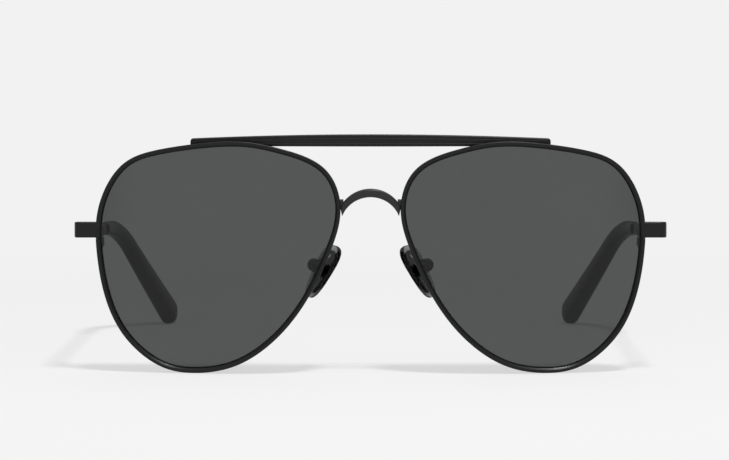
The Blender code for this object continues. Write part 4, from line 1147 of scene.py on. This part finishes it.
def mirrored_room(tree):
    """What shiny faces mirror: the plain ground, with a dark screen at each side."""
    direction = add_node(tree, "TexCoord").outputs["Generated"]
    parts = add_node(tree, "SeparateXYZ", Vector=direction).outputs
    aside = math_node(tree, "ABSOLUTE", parts["X"])
    room = smooth_step(tree, aside, SIDE_RANGE, BACKGROUND, SIDE_DARK)
    above = smooth_step(tree, parts["Z"], TOP_RANGE)
    behind = smooth_step(tree, parts["Y"], BACK_RANGE)
    elsewhere = math_node(tree, "MAXIMUM", above, behind)
    return add_node(tree, "Mix", Factor=elsewhere, A=room, B=BACKGROUND).outputs["Result"]


def add_world():
    """Even light all round, with the photograph's plain ground to look at and a room to mirror."""
    world = bpy.data.worlds.new("studio")
    world.use_nodes = True
    bpy.context.scene.world = world
    tree = world.node_tree
    rays = add_node(tree, "LightPath").outputs
    glossy = add_node(tree, "Mix", Factor=rays["Is Glossy Ray"], A=FILL, B=mirrored_room(tree))
    through = math_node(tree, "MAXIMUM", rays["Is Camera Ray"], rays["Is Transmission Ray"])
    strength = add_node(tree, "Mix", Factor=through, A=glossy.outputs["Result"], B=BACKGROUND)
    background = tree.nodes["Background"]
    background.inputs["Color"].default_value = (1, 1, 1, 1)
    tree.links.new(strength.outputs["Result"], background.inputs["Strength"])


def add_floor():
    """Pale floor that takes the shadows, and turns into the plain ground further out."""
    mesh = bpy.data.meshes.new("floor")
    corners = [(x * FLOOR_HALF, y * FLOOR_HALF, 0) for x, y in ((-1, -1), (1, -1), (1, 1), (-1, 1))]
    mesh.from_pydata(corners, [], [(0, 1, 2, 3)])
    floor = bpy.data.objects.new("floor", mesh)
    bpy.context.scene.collection.objects.link(floor)
    material = bpy.data.materials.new("floor")
    material.use_nodes = True
    tree = material.node_tree
    tree.nodes.remove(tree.nodes["Principled BSDF"])
    diffuse = add_node(tree, "BsdfDiffuse", Color=(FLOOR_ALBEDO, FLOOR_ALBEDO, FLOOR_ALBEDO, 1))
    plain = add_node(tree, "Emission", Color=(1, 1, 1, 1), Strength=BACKGROUND)
    distance = add_node(tree, "VectorMath", Vector=add_node(tree, "TexCoord").outputs["Object"])
    distance.operation = "LENGTH"
    fade = smooth_step(tree, distance.outputs["Value"], FLOOR_FADE, FLOOR_GLOW)
    mix = add_node(tree, "MixShader", Fac=fade)
    tree.links.new(diffuse.outputs["BSDF"], mix.inputs[1])
    tree.links.new(plain.outputs["Emission"], mix.inputs[2])
    tree.links.new(mix.outputs["Shader"], tree.nodes["Material Output"].inputs["Surface"])
    mesh.materials.append(material)


def add_key_light():
    """Small softbox above, ahead of the glasses and a little to their left."""
    data = bpy.data.lights.new("key", "AREA")
    data.shape = "DISK"
    data.size = KEY_SIZE
    data.energy = KEY_ENERGY
    light = bpy.data.objects.new("key", data)
    bpy.context.scene.collection.objects.link(light)
    light.location = KEY_PLACE
    aim = Vector(KEY_AIM) - Vector(KEY_PLACE)
    light.rotation_euler = aim.to_track_quat("-Z", "Y").to_euler()


# Assembly

def blacken_edges(lenses, black):
    """Give the faces between a lens's front and back surfaces their own material: the near-black painted
    shade of the rim's groove.
    """
    first = (LENS_RINGS - 2) * RIM_STATIONS
    strips = 4
    for lens in lenses:
        lens.data.materials.append(black)
        for face in lens.data.polygons[first:first + strips * RIM_STATIONS]:
            face.material_index = 1


def add_front(metal, painted_light_bridge_metal, steel, glass):
    add_pair("rim", rim_shape(), metal, "front", FINE_SHARP)
    lenses = add_pair("lens", lens_shape(), glass, "front", FINE_SHARP)
    # The lens edges get a near-black material: painted shade for the rim's shaded groove.
    blacken_edges(lenses, lens_edge_black())
    # The bridge wears a lighter copy of the black coat: painted light for its upward, lit face.
    add_piece("bridge", moved(bridge_shape(), FRONT), painted_light_bridge_metal, "front", SHARP)
    add_piece("brow_bar", moved(bar_shape(), FRONT), metal, "front", FINE_SHARP)
    add_pair("endpiece", endpiece_shape(), metal, "front")
    add_pair("closing_block_upper", block_shape(1), metal, "front")
    add_pair("closing_block_lower", block_shape(-1), metal, "front")
    add_pair("rim_screw", rim_screw_shape(), steel, "front")
    lower, _, upper = knuckle_levels()
    leaf = leaf_shape(-1, FRONT_LEAF_LENGTH, (lower, upper))
    add_pair("front_hinge_leaf", leaf, metal, "front")
    add_pair("hinge_screw", hinge_screw_shape(), steel, "front")
    add_pair("pad_arm", pad_arm_shape(), metal, "front")
    add_pair("pad_box", pad_box_shape(), metal, "front")
    add_pair("pad_screw", pad_screw_shape(), steel, "front")


def add_pads(metal, smoky):
    add_pair("pad_core", pad_core_shape(), metal, "nose_pad_{}")
    add_pair("nose_pad", pad_shape(), smoky, "nose_pad_{}")


def add_temples(metal, plastic):
    leaf = leaf_shape(1, TEMPLE_LEAF_LENGTH, (knuckle_levels()[1],))
    add_pair("temple_hinge_leaf", leaf, metal, "temple_{}")
    add_pair("temple_arm", arm_shape(), metal, "temple_{}")
    add_pair("temple_tip", tip_shape(), plastic, "temple_{}")


def build():
    for item in list(bpy.data.objects):
        if item.type in ("LIGHT", "CAMERA"):
            bpy.data.objects.remove(item)
    bpy.context.scene.view_settings.view_transform = "Standard"
    metal = black_metal("black_coated_metal", 0.005)
    # Same black coat with a lighter base colour for the bridge: painted light, not a different finish.
    add_front(metal, black_metal("black_coated_bridge_painted_light", 0.022), screw_steel(), lens_glass())
    add_pads(metal, pad_smoky())
    add_temples(metal, tip_plastic())
    add_camera()
    add_world()
    add_floor()
    add_key_light()


build()
